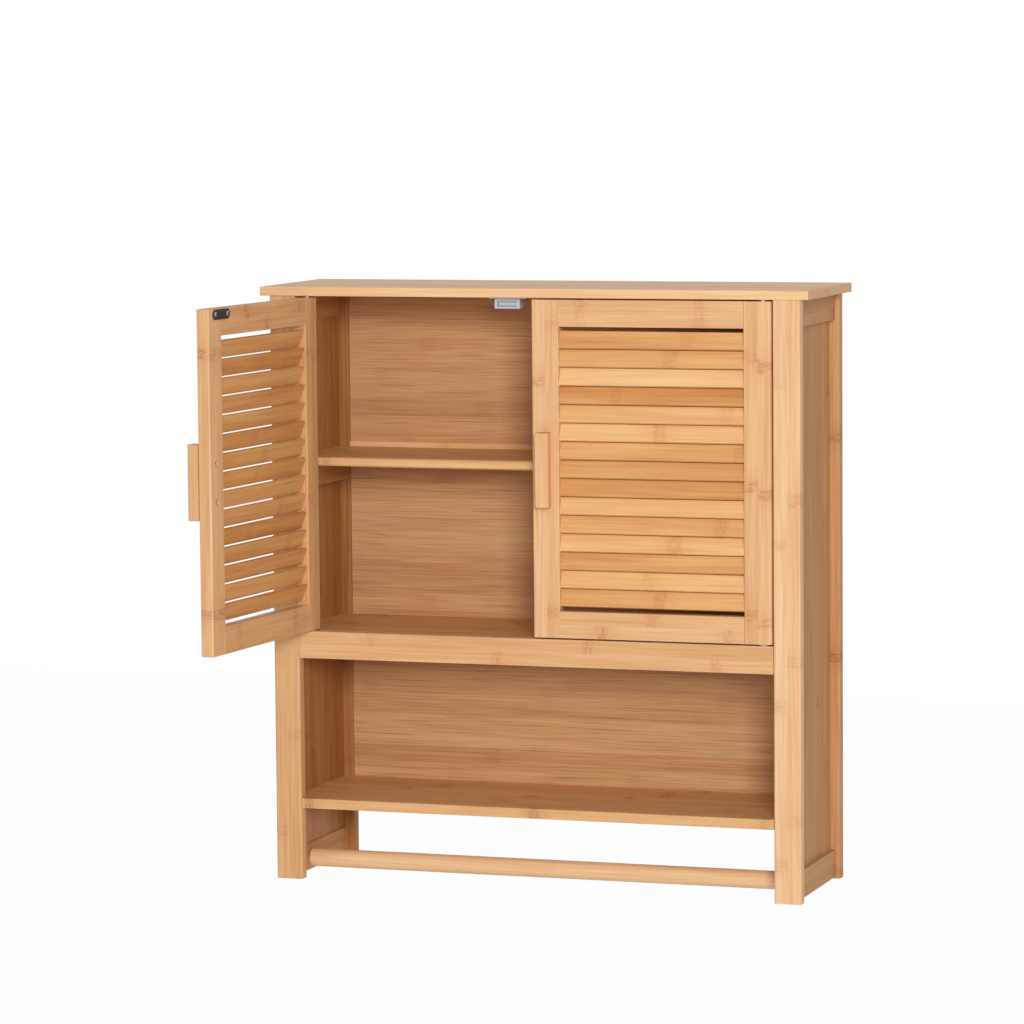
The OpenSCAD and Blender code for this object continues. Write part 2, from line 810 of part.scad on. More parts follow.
module handle_screw_pair() {
    seat_y = door_in_y - handle_counterbore;
    for (s = [-1, 1]) {
        z = opening_mid_z + s * handle_screw_pitch / 2;
        rod_y(-handle_x, front_y - handle_screw_grip, seat_y, z, handle_screw_dia);
        rod_y(-handle_x, seat_y, seat_y + handle_head_thick, z, handle_head_dia);
    }
}

module strike_plate() {
    translate([-catch_x, strike_face_y, strike_z])
        rotate([90, 0, 0])
            difference() {
                linear_extrude(height = strike_thick)
                    obround(strike_length, strike_height);
                for (s = [-1, 1])
                    translate([s * strike_screw_pitch / 2, 0, 0])
                        countersunk_hole(strike_thick + screw_grip);
            }
}

module strike_screw_pair() {
    for (s = [-1, 1])
        translate([-catch_x + s * strike_screw_pitch / 2, strike_face_y, strike_z])
            rotate([90, 0, 0])
                countersunk_screw(strike_thick + screw_grip - screw_tip_gap);
}

// housing of the left catch, open at the front for the magnet
module catch_housing() {
    difference() {
        union() {
            block([-catch_x - catch_width / 2, housing_front_y, catch_low],
                  [-catch_x + catch_width / 2, housing_front_y + catch_depth, post_height]);
            bar_along_z(-catch_x - ear_span / 2, -catch_x + ear_span / 2, ear_y - ear_depth / 2,
                        ear_y + ear_depth / 2, post_height - ear_thick, post_height, ear_corner);
        }
        block([-catch_x - pole_width / 2, housing_front_y - cut_over, strike_z - pole_stack / 2],
              [-catch_x + pole_width / 2, pole_front_y + pole_depth, strike_z + pole_stack / 2]);
        for (dx = [-1, 1])
            rod_z(-catch_x + dx * ear_screw_x, ear_y, post_height - ear_thick - cut_over,
                  post_height + cut_over, screw_dia + 2 * pass_clearance);
    }
}

module catch_magnet() {
    pole_back_y = pole_front_y + pole_depth;
    block([-catch_x - magnet_width / 2, pole_back_y - magnet_depth, strike_z - magnet_thick / 2],
          [-catch_x + magnet_width / 2, pole_back_y, strike_z + magnet_thick / 2]);
}

module catch_pole_pair() {
    for (s = [-1, 1])
        translate([-catch_x, pole_front_y, strike_z + s * (magnet_thick + pole_thick) / 2])
            block([-pole_width / 2, 0, -pole_thick / 2], [pole_width / 2, pole_depth, pole_thick / 2]);
}

module catch_screw_pair() {
    for (dx = [-1, 1]) {
        x = -catch_x + dx * ear_screw_x;
        rod_z(x, ear_y, post_height - ear_thick, post_height + screw_grip - screw_tip_gap, screw_dia);
        rod_z(x, ear_y, post_height - ear_thick - screw_head, post_height - ear_thick, screw_head_dia);
    }
}

module top_board() {
    color(bamboo) hung() top_board_solid();
}

module front_post_left() {
    color(bamboo) hung() front_post();
}

module front_post_right() {
    color(bamboo) hung() on_side(1) front_post();
}

module rear_post_left() {
    color(bamboo_side) hung() rear_post();
}

module rear_post_right() {
    color(bamboo_side) hung() on_side(1) rear_post();
}

module top_rail_left() {
    color(bamboo_side) hung() top_side_rail();
}

module top_rail_right() {
    color(bamboo_side) hung() on_side(1) top_side_rail();
}

module bottom_rail_left() {
    color(bamboo_side) hung() bottom_side_rail();
}

module bottom_rail_right() {
    color(bamboo_side) hung() on_side(1) bottom_side_rail();
}

module side_panel_left() {
    color(bamboo_side) hung() side_panel();
}

module side_panel_right() {
    color(bamboo_side) hung() on_side(1) side_panel();
}

module shelf_cleat_left() {
    color(bamboo_inside) hung() cleat(mid_shelf_low, shelf_cleat_height, mid_shelf_front);
}

module shelf_cleat_right() {
    color(bamboo_inside) hung()
        on_side(1) cleat(mid_shelf_low, shelf_cleat_height, mid_shelf_front);
}

module floor_cleat_left() {
    color(bamboo_inside) hung() cleat(floor_low, floor_cleat_height, front_back_y);
}

module floor_cleat_right() {
    color(bamboo_inside) hung() on_side(1) cleat(floor_low, floor_cleat_height, front_back_y);
}

module mid_shelf() {
    color(bamboo) hung() mid_shelf_solid();
}

module floor_board() {
    color(bamboo_inside) hung() floor_solid();
}

module floor_front_rail() {
    color(bamboo) hung() front_rail_solid();
}

module floor_rear_rail() {
    color(bamboo_inside) hung() back_rail(rear_rail_low, floor_low);
}

module low_shelf() {
    color(bamboo) hung() low_shelf_solid();
}

module back_cross_rail() {
    color(bamboo) hung() back_rail(cross_rail_low, cross_rail_top);
}

module back_panel_upper() {
    color(bamboo_inside) hung() back_panel(cross_rail_top - groove_depth, post_height + top_groove);
}

module back_panel_middle() {
    color(bamboo_inside) hung() back_panel(floor_low - groove_depth, cross_rail_low + groove_depth);
}

module back_panel_lower() {
    color(bamboo_inside) hung() back_panel(low_shelf_height - top_groove, rear_rail_low + groove_depth);
}

module towel_bar() {
    color(bamboo) hung() rod_x(-rail_in_x - bar_socket, rail_in_x + bar_socket, bar_y, bar_height, bar_dia);
}

module frame_dowels() {
    color(dowel_wood) hung()
        for (side = [-1, 1])
            on_side(side) {
                side_rail_dowels(0);
                front_rail_dowels(0);
                top_dowels(0);
            }
}

module hanger_plate_left() {
    color(steel) hung() hanger_plate();
}

module hanger_plate_right() {
    color(steel) hung() on_side(1) hanger_plate();
}

module hanger_screws() {
    color(steel) hung()
        for (side = [-1, 1])
            on_side(side) hanger_screw_pair();
}

module catch_housing_left() {
    color(pale_plastic) hung() catch_housing();
}

module catch_housing_right() {
    color(pale_plastic) hung() on_side(1) catch_housing();
}

module catch_magnets() {
    color(magnet_nickel) hung()
        for (side = [-1, 1])
            on_side(side) catch_magnet();
}

module catch_pole_plates() {
    color(steel) hung()
        for (side = [-1, 1])
            on_side(side) catch_pole_pair();
}

module catch_screws() {
    color(dark_steel) hung()
        for (side = [-1, 1])
            on_side(side) catch_screw_pair();
}

module pivot_bushings() {
    color(pale_plastic) hung()
        for (side = [-1, 1])
            on_side(side) {
                translate([-pivot_x, door_mid_y, post_height])
                    bushing();
                translate([-pivot_x, door_mid_y, floor_top])
                    mirror([0, 0, 1]) bushing();
            }
}

module left_door_hinge_stile() {
    color(bamboo) hung() on_door(-1) hinge_stile();
}

module left_door_free_stile() {
    color(bamboo) hung() on_door(-1) free_stile();
}

module left_door_top_rail() {
    color(bamboo) hung() on_door(-1) door_rail(door_high - door_rail_height);
}

module left_door_bottom_rail() {
    color(bamboo) hung() on_door(-1) door_rail(door_low);
}

module left_door_slats() {
    color(bamboo_side) hung() on_door(-1) slats(slat_housing, 0);
}

module left_door_dowels() {
    color(dowel_wood) hung() on_door(-1) door_dowels(0);
}

module left_door_handle() {
    color(bamboo) hung() on_door(-1) handle_solid();
}

module left_handle_screws() {
    color(dark_steel) hung() on_door(-1) handle_screw_pair();
}

module left_strike_plate() {
    color(dark_steel) hung() on_door(-1) strike_plate();
}

module left_strike_screws() {
    color(steel) hung() on_door(-1) strike_screw_pair();
}

module left_pivot_pins() {
    color(steel) hung() on_door(-1) pivot_pins(0);
}

module right_door_hinge_stile() {
    color(bamboo) hung() on_door(1) hinge_stile();
}

module right_door_free_stile() {
    color(bamboo) hung() on_door(1) free_stile();
}

module right_door_top_rail() {
    color(bamboo) hung() on_door(1) door_rail(door_high - door_rail_height);
}

module right_door_bottom_rail() {
    color(bamboo) hung() on_door(1) door_rail(door_low);
}

module right_door_slats() {
    color(bamboo_side) hung() on_door(1) slats(slat_housing, 0);
}

module right_door_dowels() {
    color(dowel_wood) hung() on_door(1) door_dowels(0);
}

module right_door_handle() {
    color(bamboo) hung() on_door(1) handle_solid();
}

module right_handle_screws() {
    color(dark_steel) hung() on_door(1) handle_screw_pair();
}

module right_strike_plate() {
    color(dark_steel) hung() on_door(1) strike_plate();
}

module right_strike_screws() {
    color(steel) hung() on_door(1) strike_screw_pair();
}

module right_pivot_pins() {
    color(steel) hung() on_door(1) pivot_pins(0);
}

top_board();
front_post_left();
front_post_right();
rear_post_left();
rear_post_right();
top_rail_left();
top_rail_right();
bottom_rail_left();
bottom_rail_right();
side_panel_left();
side_panel_right();
shelf_cleat_left();
shelf_cleat_right();
floor_cleat_left();
floor_cleat_right();
mid_shelf();
floor_board();
floor_front_rail();
floor_rear_rail();
low_shelf();
back_cross_rail();
back_panel_upper();
back_panel_middle();
back_panel_lower();
towel_bar();
frame_dowels();
hanger_plate_left();
hanger_plate_right();
hanger_screws();
catch_housing_left();
catch_housing_right();
catch_magnets();
catch_pole_plates();
catch_screws();
pivot_bushings();
left_door_hinge_stile();
left_door_free_stile();
left_door_top_rail();
left_door_bottom_rail();
left_door_slats();
left_door_dowels();
left_door_handle();
left_handle_screws();
left_strike_plate();
left_strike_screws();
left_pivot_pins();
right_door_hinge_stile();
right_door_free_stile();
right_door_top_rail();
right_door_bottom_rail();
right_door_slats();
right_door_dowels();
right_door_handle();
right_handle_screws();
right_strike_plate();
right_strike_screws();
right_pivot_pins();
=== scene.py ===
import math

import bmesh
import bpy
import numpy as np
from mathutils import Matrix, Vector


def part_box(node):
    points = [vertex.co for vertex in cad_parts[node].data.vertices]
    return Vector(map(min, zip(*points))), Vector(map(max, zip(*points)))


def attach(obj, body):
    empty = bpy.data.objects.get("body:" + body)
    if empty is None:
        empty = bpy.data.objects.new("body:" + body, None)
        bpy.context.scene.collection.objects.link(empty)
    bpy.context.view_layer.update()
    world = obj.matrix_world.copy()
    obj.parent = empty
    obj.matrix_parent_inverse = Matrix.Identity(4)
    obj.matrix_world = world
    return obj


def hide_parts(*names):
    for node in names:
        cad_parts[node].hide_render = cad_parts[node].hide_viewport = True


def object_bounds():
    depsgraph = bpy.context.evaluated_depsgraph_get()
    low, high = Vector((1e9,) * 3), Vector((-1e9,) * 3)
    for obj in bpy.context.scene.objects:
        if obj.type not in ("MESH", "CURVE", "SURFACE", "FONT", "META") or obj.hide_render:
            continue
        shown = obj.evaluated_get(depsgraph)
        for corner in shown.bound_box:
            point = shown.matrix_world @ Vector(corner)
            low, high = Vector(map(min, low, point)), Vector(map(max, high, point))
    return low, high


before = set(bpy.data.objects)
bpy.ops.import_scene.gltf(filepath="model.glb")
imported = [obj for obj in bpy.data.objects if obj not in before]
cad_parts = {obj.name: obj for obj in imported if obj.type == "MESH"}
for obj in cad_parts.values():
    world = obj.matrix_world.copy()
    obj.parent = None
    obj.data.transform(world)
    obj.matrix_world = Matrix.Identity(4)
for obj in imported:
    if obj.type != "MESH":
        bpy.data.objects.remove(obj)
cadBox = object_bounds()

mm = 0.001


# the camera stands a little to the right of the cabinet and looks slightly down; metres, radians
# and a lens in mm

cameraView = {
    "place": (1.55193, -4.82031, 0.29974),
    "yaw": 0.32693,
    "pitch": -0.09717,
    "roll": -0.00872,
    "lens": 160.35,
}


def placeCamera():
    lens = bpy.data.cameras.new("camera")
    lens.sensor_width = 36
    lens.lens = cameraView["lens"]
    lens.clip_end = 100
    camera = bpy.data.objects.new("camera", lens)
    bpy.context.scene.collection.objects.link(camera)
    turn = Matrix.Rotation(cameraView["yaw"], 4, "Z")
    turn = turn @ Matrix.Rotation(math.pi / 2 + cameraView["pitch"], 4, "X")
    turn = turn @ Matrix.Rotation(cameraView["roll"], 4, "Z")
    camera.matrix_world = Matrix.Translation(cameraView["place"]) @ turn
    bpy.context.scene.camera = camera


placeCamera()
print("camera placed")


def linearColour(code):
    colour = []
    for start in (1, 3, 5):
        part = int(code[start:start + 2], 16) / 255
        colour.append(part / 12.92 if part <= 0.04045 else ((part + 0.055) / 1.055) ** 2.4)
    return (*colour, 1.0)


def addNode(tree, kind, inputs=None, stops=None, **settings):
    node = tree.nodes.new(kind)
    for key, value in settings.items():
        setattr(node, key, value)
    for key, value in (inputs or {}).items():
        if isinstance(value, bpy.types.NodeSocket):
            tree.links.new(value, node.inputs[key])
        else:
            node.inputs[key].default_value = value
    if stops:
        ramp = node.color_ramp
        while len(ramp.elements) < len(stops):
            ramp.elements.new(1.0)
        for element, (place, colour) in zip(ramp.elements, stops):
            element.position = place
            element.color = colour
    return node


def newMaterial(name):
    material = bpy.data.materials.new(name)
    material.use_nodes = True
    material.node_tree.nodes.clear()
    return material, material.node_tree


# Solid laminated bamboo, planed and sprayed with a satin lacquer: straight fibres, glued strips
# that differ in tone, and a blotch with short cross strokes where each stem had a node.
# Lengths in mm and streaks per mm; tones run from deep through middle to light.
bambooLooks = {
    # frames of the doors, posts, front rail and towel bar
    "frameBamboo": {
        "light": "#f3d4ac", "middle": "#e5b586", "deep": "#c78c54", "nodeMark": "#a9663f",
        "blush": "#d9946c", "stripWidth": 15, "stripTone": 0.12, "streak": 0.55, "flow": 0.40,
        "streaks": 0.34, "fibre": 0.20, "rosy": 0.010, "nodePitch": 230, "nodeLength": 12,
        "nodeAmount": 0.62, "nodeShare": 0.6, "strokes": 0.11, "shine": 0.11, "slot": "bamboo",
    },
    # top board: the same wood under a fuller coat of lacquer
    "topBamboo": {
        "light": "#f6d5a8", "middle": "#e9ba88", "deep": "#c98f5a", "nodeMark": "#b06c45",
        "blush": "#dc9b74", "stripWidth": 19, "stripTone": 0.16, "streak": 0.50, "flow": 0.40,
        "streaks": 0.34, "fibre": 0.16, "rosy": 0.012, "nodePitch": 330, "nodeLength": 11,
        "nodeAmount": 0.45, "nodeShare": 0.6, "strokes": 0.14, "shine": 0.42, "slot": "bamboo",
    },
    # louvre slats: one strip each, more golden, with the speckled mark of the stem's outer skin
    "slatBamboo": {
        "light": "#f4c892", "middle": "#e5af75", "deep": "#c6864b", "nodeMark": "#b3723f",
        "blush": "#d99a62", "stripWidth": 40, "stripTone": 0.05, "streak": 0.50, "flow": 0.60,
        "streaks": 0.30, "fibre": 0.22, "rosy": 0.012, "nodePitch": 300, "nodeLength": 15,
        "nodeAmount": 0.50, "nodeShare": 0.6, "strokes": 0.40, "shine": 0.11, "slot": "bamboo_side",
    },
    # shelves: wide strips laid flat; darker than the frames, partly painted shade for the dimmer light
    # on their tops
    "shelfBambooPaintedShade": {
        "light": "#eec391", "middle": "#dcaa75", "deep": "#b57f49", "nodeMark": "#87492a",
        "blush": "#b9794e", "stripWidth": 19, "stripTone": 0.22, "streak": 0.55, "flow": 0.40,
        "streaks": 0.30, "fibre": 0.22, "rosy": 0.012, "nodePitch": 260, "nodeLength": 10,
        "nodeAmount": 0.70, "nodeShare": 0.8, "strokes": 0.20, "shine": 0.16, "slot": "bamboo",
    },
    # side frames, side panels and cleats: darker than the frames, partly their own deeper tone and
    # partly painted shade of the cabinet's sides and inside
    "sideBambooPaintedShade": {
        "light": "#dbb082", "middle": "#c5905e", "deep": "#9c6536", "nodeMark": "#804a2b",
        "blush": "#b07247", "stripWidth": 15, "stripTone": 0.16, "streak": 0.55, "flow": 0.35,
        "streaks": 0.34, "fibre": 0.28, "rosy": 0.013, "nodePitch": 270, "nodeLength": 12,
        "nodeAmount": 0.62, "nodeShare": 0.6, "strokes": 0.14, "shine": 0.11, "slot": "bamboo_side",
    },
    # back panels: thin pressed board with close dark fibre lines; darker than the frames, partly
    # painted shade inside the cabinet
    "backBambooPaintedShade": {
        "light": "#e3b98a", "middle": "#cf9d70", "deep": "#a67149", "nodeMark": "#9a5c3c",
        "blush": "#b57a54", "stripWidth": 18, "stripTone": 0.22, "streak": 0.62, "flow": 0.40,
        "streaks": 0.90, "fibre": 0.46, "rosy": 0.012, "nodePitch": 210, "nodeLength": 18,
        "nodeAmount": 0.26, "nodeShare": 0.7, "strokes": 0.24, "shine": 0.12, "slot": "bamboo_inside",
    },
}


def bambooMaterial(name, look):
    material, tree = newMaterial(name)

    def calc(operation, *values):
        return addNode(tree, "ShaderNodeMath", dict(enumerate(values)), operation=operation).outputs[0]

    def mapRange(value, low, high, first, last, **settings):
        return addNode(tree, "ShaderNodeMapRange", {0: value, 1: low, 2: high, 3: first, 4: last},
                       **settings).outputs[0]

    def stored(name):
        return addNode(tree, "ShaderNodeAttribute", attribute_name=name).outputs

    def fibreNoise(vector, scale, detail, roughness):
        stretched = addNode(tree, "ShaderNodeMapping", {0: vector, "Scale": scale})
        noise = addNode(tree, "ShaderNodeTexNoise", {
            "Vector": stretched.outputs[0], "Scale": 1.0, "Detail": detail, "Roughness": roughness})
        return noise.outputs[0]

    grain = stored("grain")["Vector"]
    along, across, depth = addNode(tree, "ShaderNodeSeparateXYZ", {0: grain}).outputs

    # glued strips, each with its own tone and its own stretch of fibre
    strip = calc("FLOOR", calc("DIVIDE", across, look["stripWidth"]))
    stripChance = addNode(tree, "ShaderNodeTexWhiteNoise", {"W": strip}, noise_dimensions="1D").outputs
    shifted = calc("MULTIPLY_ADD", strip, 83.0, along)
    place = addNode(tree, "ShaderNodeCombineXYZ", {0: shifted, 1: across, 2: depth}).outputs[0]
    flow = fibreNoise(place, (0.0045, 0.06, 0.06), 2.0, 0.5)
    streak = fibreNoise(place, (0.009, look["streaks"], look["streaks"]), 3.0, 0.55)
    fibre = fibreNoise(place, (0.012, 0.95, 0.95), 2.0, 0.6)
    fibreLine = mapRange(fibre, 0.52, 0.68, 0.0, look["fibre"])

    # tone of the wood: the piece, the strip, broad flow and the streaks added together
    amounts = ((stored("tone")["Fac"], 0.8), (stripChance["Value"], look["stripTone"]),
               (flow, look["flow"]), (streak, look["streak"]))
    total = 0.5 - 0.5 * sum(amount for source, amount in amounts)
    for source, amount in amounts:
        total = calc("MULTIPLY_ADD", source, amount, total)
    wood = addNode(tree, "ShaderNodeValToRGB", {0: total}, stops=[
        (0.05, linearColour(look["deep"])),
        (0.50, linearColour(look["middle"])),
        (0.95, linearColour(look["light"]))])
    # some stretches lean to rose, others to straw
    drift = fibreNoise(place, (0.007, 0.05, 0.05), 1.0, 0.5)
    lean = mapRange(drift, 0.3, 0.7, 0.5 - look["rosy"] / 2, 0.5 + look["rosy"] / 2)
    leaning = addNode(tree, "ShaderNodeHueSaturation", {"Hue": lean, "Color": wood.outputs[0]})

    # nodes of the stem: odd and even strips have them at their own places, the piece's spacing
    # apart; wide boards scatter them
    odd, even, spacing = addNode(tree, "ShaderNodeSeparateXYZ", {0: stored("stems")["Vector"]}).outputs
    chances = addNode(tree, "ShaderNodeSeparateColor", {0: stripChance["Color"]}).outputs
    wander = fibreNoise(grain, (0.05, 0.09, 0.09), 1.0, 0.5)
    wandered = calc("ADD", calc("MULTIPLY_ADD", wander, 9.0, -4.5), along)
    parity = calc("FLOORED_MODULO", strip, 2.0)
    first = addNode(tree, "ShaderNodeMix", {0: parity, 2: even, 3: odd}, data_type="FLOAT").outputs[0]
    phase = calc("DIVIDE", calc("SUBTRACT", wandered, first), spacing)
    scatter = stored("scatter")["Fac"]
    scattered = calc("MULTIPLY_ADD", chances[1], scatter, phase)
    nodeGap = calc("MULTIPLY", calc("PINGPONG", scattered, 0.5), spacing)
    has = calc("LESS_THAN", calc("MULTIPLY", chances[2], scatter), look["nodeShare"])
    # some nodes are plain to see, others hardly
    address = addNode(tree, "ShaderNodeCombineXYZ", {0: strip, 1: calc("ROUND", scattered)})
    nodeChance = addNode(tree, "ShaderNodeTexWhiteNoise", {"Vector": address.outputs[0]},
                         noise_dimensions="2D")
    plainness = mapRange(nodeChance.outputs["Value"], 0.0, 1.0, 0.45, 1.0)
    shown = calc("MULTIPLY", has, calc("MULTIPLY", plainness, stored("marks")["Fac"]))

    def nodeBand(inner, outer, strength):
        band = mapRange(nodeGap, inner, outer, strength, 0.0, interpolation_type="SMOOTHSTEP")
        return calc("MULTIPLY", band, shown)

    blush = nodeBand(look["nodeLength"] * 0.3, look["nodeLength"] * 2.2, look["nodeAmount"] * 0.55)
    core = nodeBand(look["nodeLength"] * 0.35, look["nodeLength"] * 0.65, look["nodeAmount"])
    stroke = fibreNoise(grain, (0.62, look["strokes"], look["strokes"]), 2.0, 0.7)
    mark = calc("MULTIPLY", core, mapRange(stroke, 0.40, 0.62, 0.0, 1.0))
    # rounded edges are paler than the faces: partly sanding wear, partly a painted highlight along the
    # edges
    edgeWearAndHighlight = calc("MULTIPLY", mapRange(streak, 0.35, 0.65, 0.04, 0.15), stored("eased")["Fac"])
    # sawn ends show the dots of the vessels and drink more lacquer
    dots = fibreNoise(grain, (0.0, 0.75, 0.75), 1.0, 0.5)
    sawn = calc("MULTIPLY", mapRange(dots, 0.38, 0.62, 0.25, 0.80), stored("ends")["Fac"])

    # laid over the wood, one on the other
    deep = linearColour(look["deep"])
    darker = (*(c * 0.6 for c in deep[:3]), 1.0)
    finished = leaning.outputs[0]
    for share, colour in ((fibreLine, darker),
                          (blush, linearColour(look["blush"])),
                          (mark, linearColour(look["nodeMark"])),
                          (edgeWearAndHighlight, linearColour("#f6d6a8")),
                          (sawn, deep)):
        layer = addNode(tree, "ShaderNodeMix", {0: share, 6: finished, 7: colour}, data_type="RGBA")
        finished = layer.outputs[2]

    relief = calc("MULTIPLY_ADD", mark, -0.5, calc("SUBTRACT", streak, fibreLine))
    bump = addNode(tree, "ShaderNodeBump", {"Strength": 0.35, "Distance": 0.08 * mm, "Height": relief})
    shader = addNode(tree, "ShaderNodeBsdfPrincipled", {
        "Base Color": finished, "Roughness": mapRange(streak, 0.3, 0.7, 0.44, 0.58), "IOR": 1.5,
        "Specular IOR Level": look["shine"], "Normal": bump.outputs[0]})
    addNode(tree, "ShaderNodeOutputMaterial", {0: shader.outputs[0]})
    return material


# Metals, plastic and the hidden dowels read object coordinates, scaled to millimetres.
smallLooks = {
    # bright zinc plating on pressed steel: slightly clouded, with fine rolling marks
    "zincPlatedSteel": {"first": "#c3c6cb", "second": "#a9adb3", "metallic": 1.0, "rough": (0.24, 0.40),
                        "scale": (0.25, 0.25, 2.2), "bump": 0.01, "slot": "steel"},
    # burnished black oxide on pressed steel: dark, with brownish rubbed patches
    "blackenedSteel": {"first": "#44474a", "second": "#5c5f62", "metallic": 1.0, "rough": (0.30, 0.48),
                       "scale": (0.5, 0.5, 0.5), "bump": 0.01, "slot": "dark_steel"},
    # nickel plating on a sintered magnet: pale, a little dull
    "nickelPlate": {"first": "#c3c4ca", "second": "#adaeb5", "metallic": 1.0, "rough": (0.40, 0.55),
                    "scale": (0.6, 0.6, 0.6), "bump": 0.01, "slot": "magnet"},
    # moulded polypropylene, pale grey, greyer than the plastic itself as painted shade where it sits:
    # soft sheen and a faint spark-eroded texture
    "mouldedPlasticPaintedShade": {"first": "#c6c8d3", "second": "#b7b9c5", "metallic": 0.0, "rough": (0.36, 0.46),
                       "scale": (0.9, 0.9, 0.9), "bump": 0.015, "slot": "pale_plastic"},
    # turned beech dowel, fluted and unfinished: straight pale grain
    "beechDowel": {"first": "#dcb98a", "second": "#c79f6d", "metallic": 0.0, "rough": (0.60, 0.75),
                   "scale": (0.6, 0.6, 0.6), "bump": 0.04},
}


def smallMaterial(name, look):
    material, tree = newMaterial(name)
    place = addNode(tree, "ShaderNodeTexCoord")
    scaled = addNode(tree, "ShaderNodeMapping", {0: place.outputs["Object"],
                                                 "Scale": tuple(s / mm for s in look["scale"])})
    cloud = addNode(tree, "ShaderNodeTexNoise", {"Vector": scaled.outputs[0], "Scale": 1.0,
                                                 "Detail": 4.0, "Roughness": 0.6})
    colour = addNode(tree, "ShaderNodeValToRGB", {0: cloud.outputs[0]}, stops=[
        (0.35, linearColour(look["first"])), (0.68, linearColour(look["second"]))])
    gloss = addNode(tree, "ShaderNodeMapRange", {0: cloud.outputs[0], 1: 0.3, 2: 0.7,
                                                 3: look["rough"][0], 4: look["rough"][1]})
    bump = addNode(tree, "ShaderNodeBump", {"Strength": 0.4, "Distance": look["bump"] * mm,
                                            "Height": cloud.outputs[0]})
    shader = addNode(tree, "ShaderNodeBsdfPrincipled", {
        "Base Color": colour.outputs[0], "Metallic": look["metallic"],
        "Roughness": gloss.outputs[0], "Normal": bump.outputs[0]})
    addNode(tree, "ShaderNodeOutputMaterial", {0: shader.outputs[0]})
    return material


looks = {**bambooLooks, **smallLooks}
materials = {name: bambooMaterial(name, look) for name, look in bambooLooks.items()}
materials.update({name: smallMaterial(name, look) for name, look in smallLooks.items()})
print("materials mixed")


# tools for modelling; all sizes are in mm, in the cabinet's own frame

# an edge or a face nearer than this to a place is at it
near = 0.01


def pick(piece):
    if bpy.context.mode != "OBJECT":
        bpy.ops.object.mode_set(mode="OBJECT")
    bpy.ops.object.select_all(action="DESELECT")
    piece.select_set(True)
    bpy.context.view_layer.objects.active = piece


def settle(piece):
    # puts the place, turn and size of a piece into its mesh
    pick(piece)
    bpy.ops.object.transform_apply(location=True, rotation=True, scale=True)
    return piece


def addBlock(name, low, high):
    bpy.ops.object.select_all(action="DESELECT")
    middle = [(a + b) / 2 * mm for a, b in zip(low, high)]
    bpy.ops.mesh.primitive_cube_add(size=1, location=middle)
    piece = bpy.context.active_object
    piece.name = name
    piece.scale = [(b - a) * mm for a, b in zip(low, high)]
    return settle(piece)


def addRod(name, middle, diameter, length, axis, sides=48, tip=None):
    # a round rod along axis "X", "Y" or "Z"; with a tip diameter it tapers towards the positive end
    bpy.ops.object.select_all(action="DESELECT")
    turns = {"X": (0, math.pi / 2, 0), "Y": (-math.pi / 2, 0, 0), "Z": (0, 0, 0)}
    bpy.ops.mesh.primitive_cone_add(
        vertices=sides, radius1=diameter / 2 * mm, radius2=(tip or diameter) / 2 * mm,
        depth=length * mm, location=[c * mm for c in middle], rotation=turns[axis])
    piece = bpy.context.active_object
    piece.name = name
    return settle(piece)


def choose(piece, kind, test):
    bpy.ops.mesh.select_mode(type=kind)
    bpy.ops.mesh.select_all(action="DESELECT")
    shape = bmesh.from_edit_mesh(piece.data)
    for part in {"VERT": shape.verts, "EDGE": shape.edges, "FACE": shape.faces}[kind]:
        if test(part):
            part.select_set(True)
    bmesh.update_edit_mesh(piece.data)


def edgeMiddle(edge):
    return (edge.verts[0].co + edge.verts[1].co) / 2 / mm


def runsAlong(edge, axis):
    line = edge.verts[1].co - edge.verts[0].co
    return abs(line.normalized()["XYZ".index(axis)]) > 0.99


def faces(face, side):
    # side is an axis with a sign, such as "-Y"
    return face.normal["XYZ".index(side[1])] * (1 if side[0] == "+" else -1) > 0.99


def roundEdges(piece, radius, test, segments):
    pick(piece)
    bpy.ops.object.mode_set(mode="EDIT")
    choose(piece, "EDGE", test)
    bpy.ops.mesh.bevel(offset=radius * mm, segments=segments, profile=0.5, affect="EDGES")
    bpy.ops.object.mode_set(mode="OBJECT")


def stepFace(piece, test, inset, push):
    # insets the chosen face and pushes it out along its normal, or in where push is negative
    pick(piece)
    bpy.ops.object.mode_set(mode="EDIT")
    choose(piece, "FACE", test)
    if inset:
        bpy.ops.mesh.inset(thickness=inset * mm, depth=0)
    shape = bmesh.from_edit_mesh(piece.data)
    way = sum((f.normal for f in shape.faces if f.select), Vector()).normalized()
    bpy.ops.mesh.extrude_region_move(TRANSFORM_OT_translate={"value": way * push * mm})
    bpy.ops.object.mode_set(mode="OBJECT")


def combine(piece, operation, others):
    for other in others:
        pick(piece)
        step = piece.modifiers.new("step", "BOOLEAN")
        step.operation = operation
        step.solver = "EXACT"
        step.object = other
        bpy.ops.object.modifier_apply(modifier=step.name)
        bpy.data.objects.remove(other)
    return piece


# how far a cutter stands past the face that it cuts
clear = 2


def cutAway(piece, *cutters):
    return combine(piece, "DIFFERENCE", cutters)


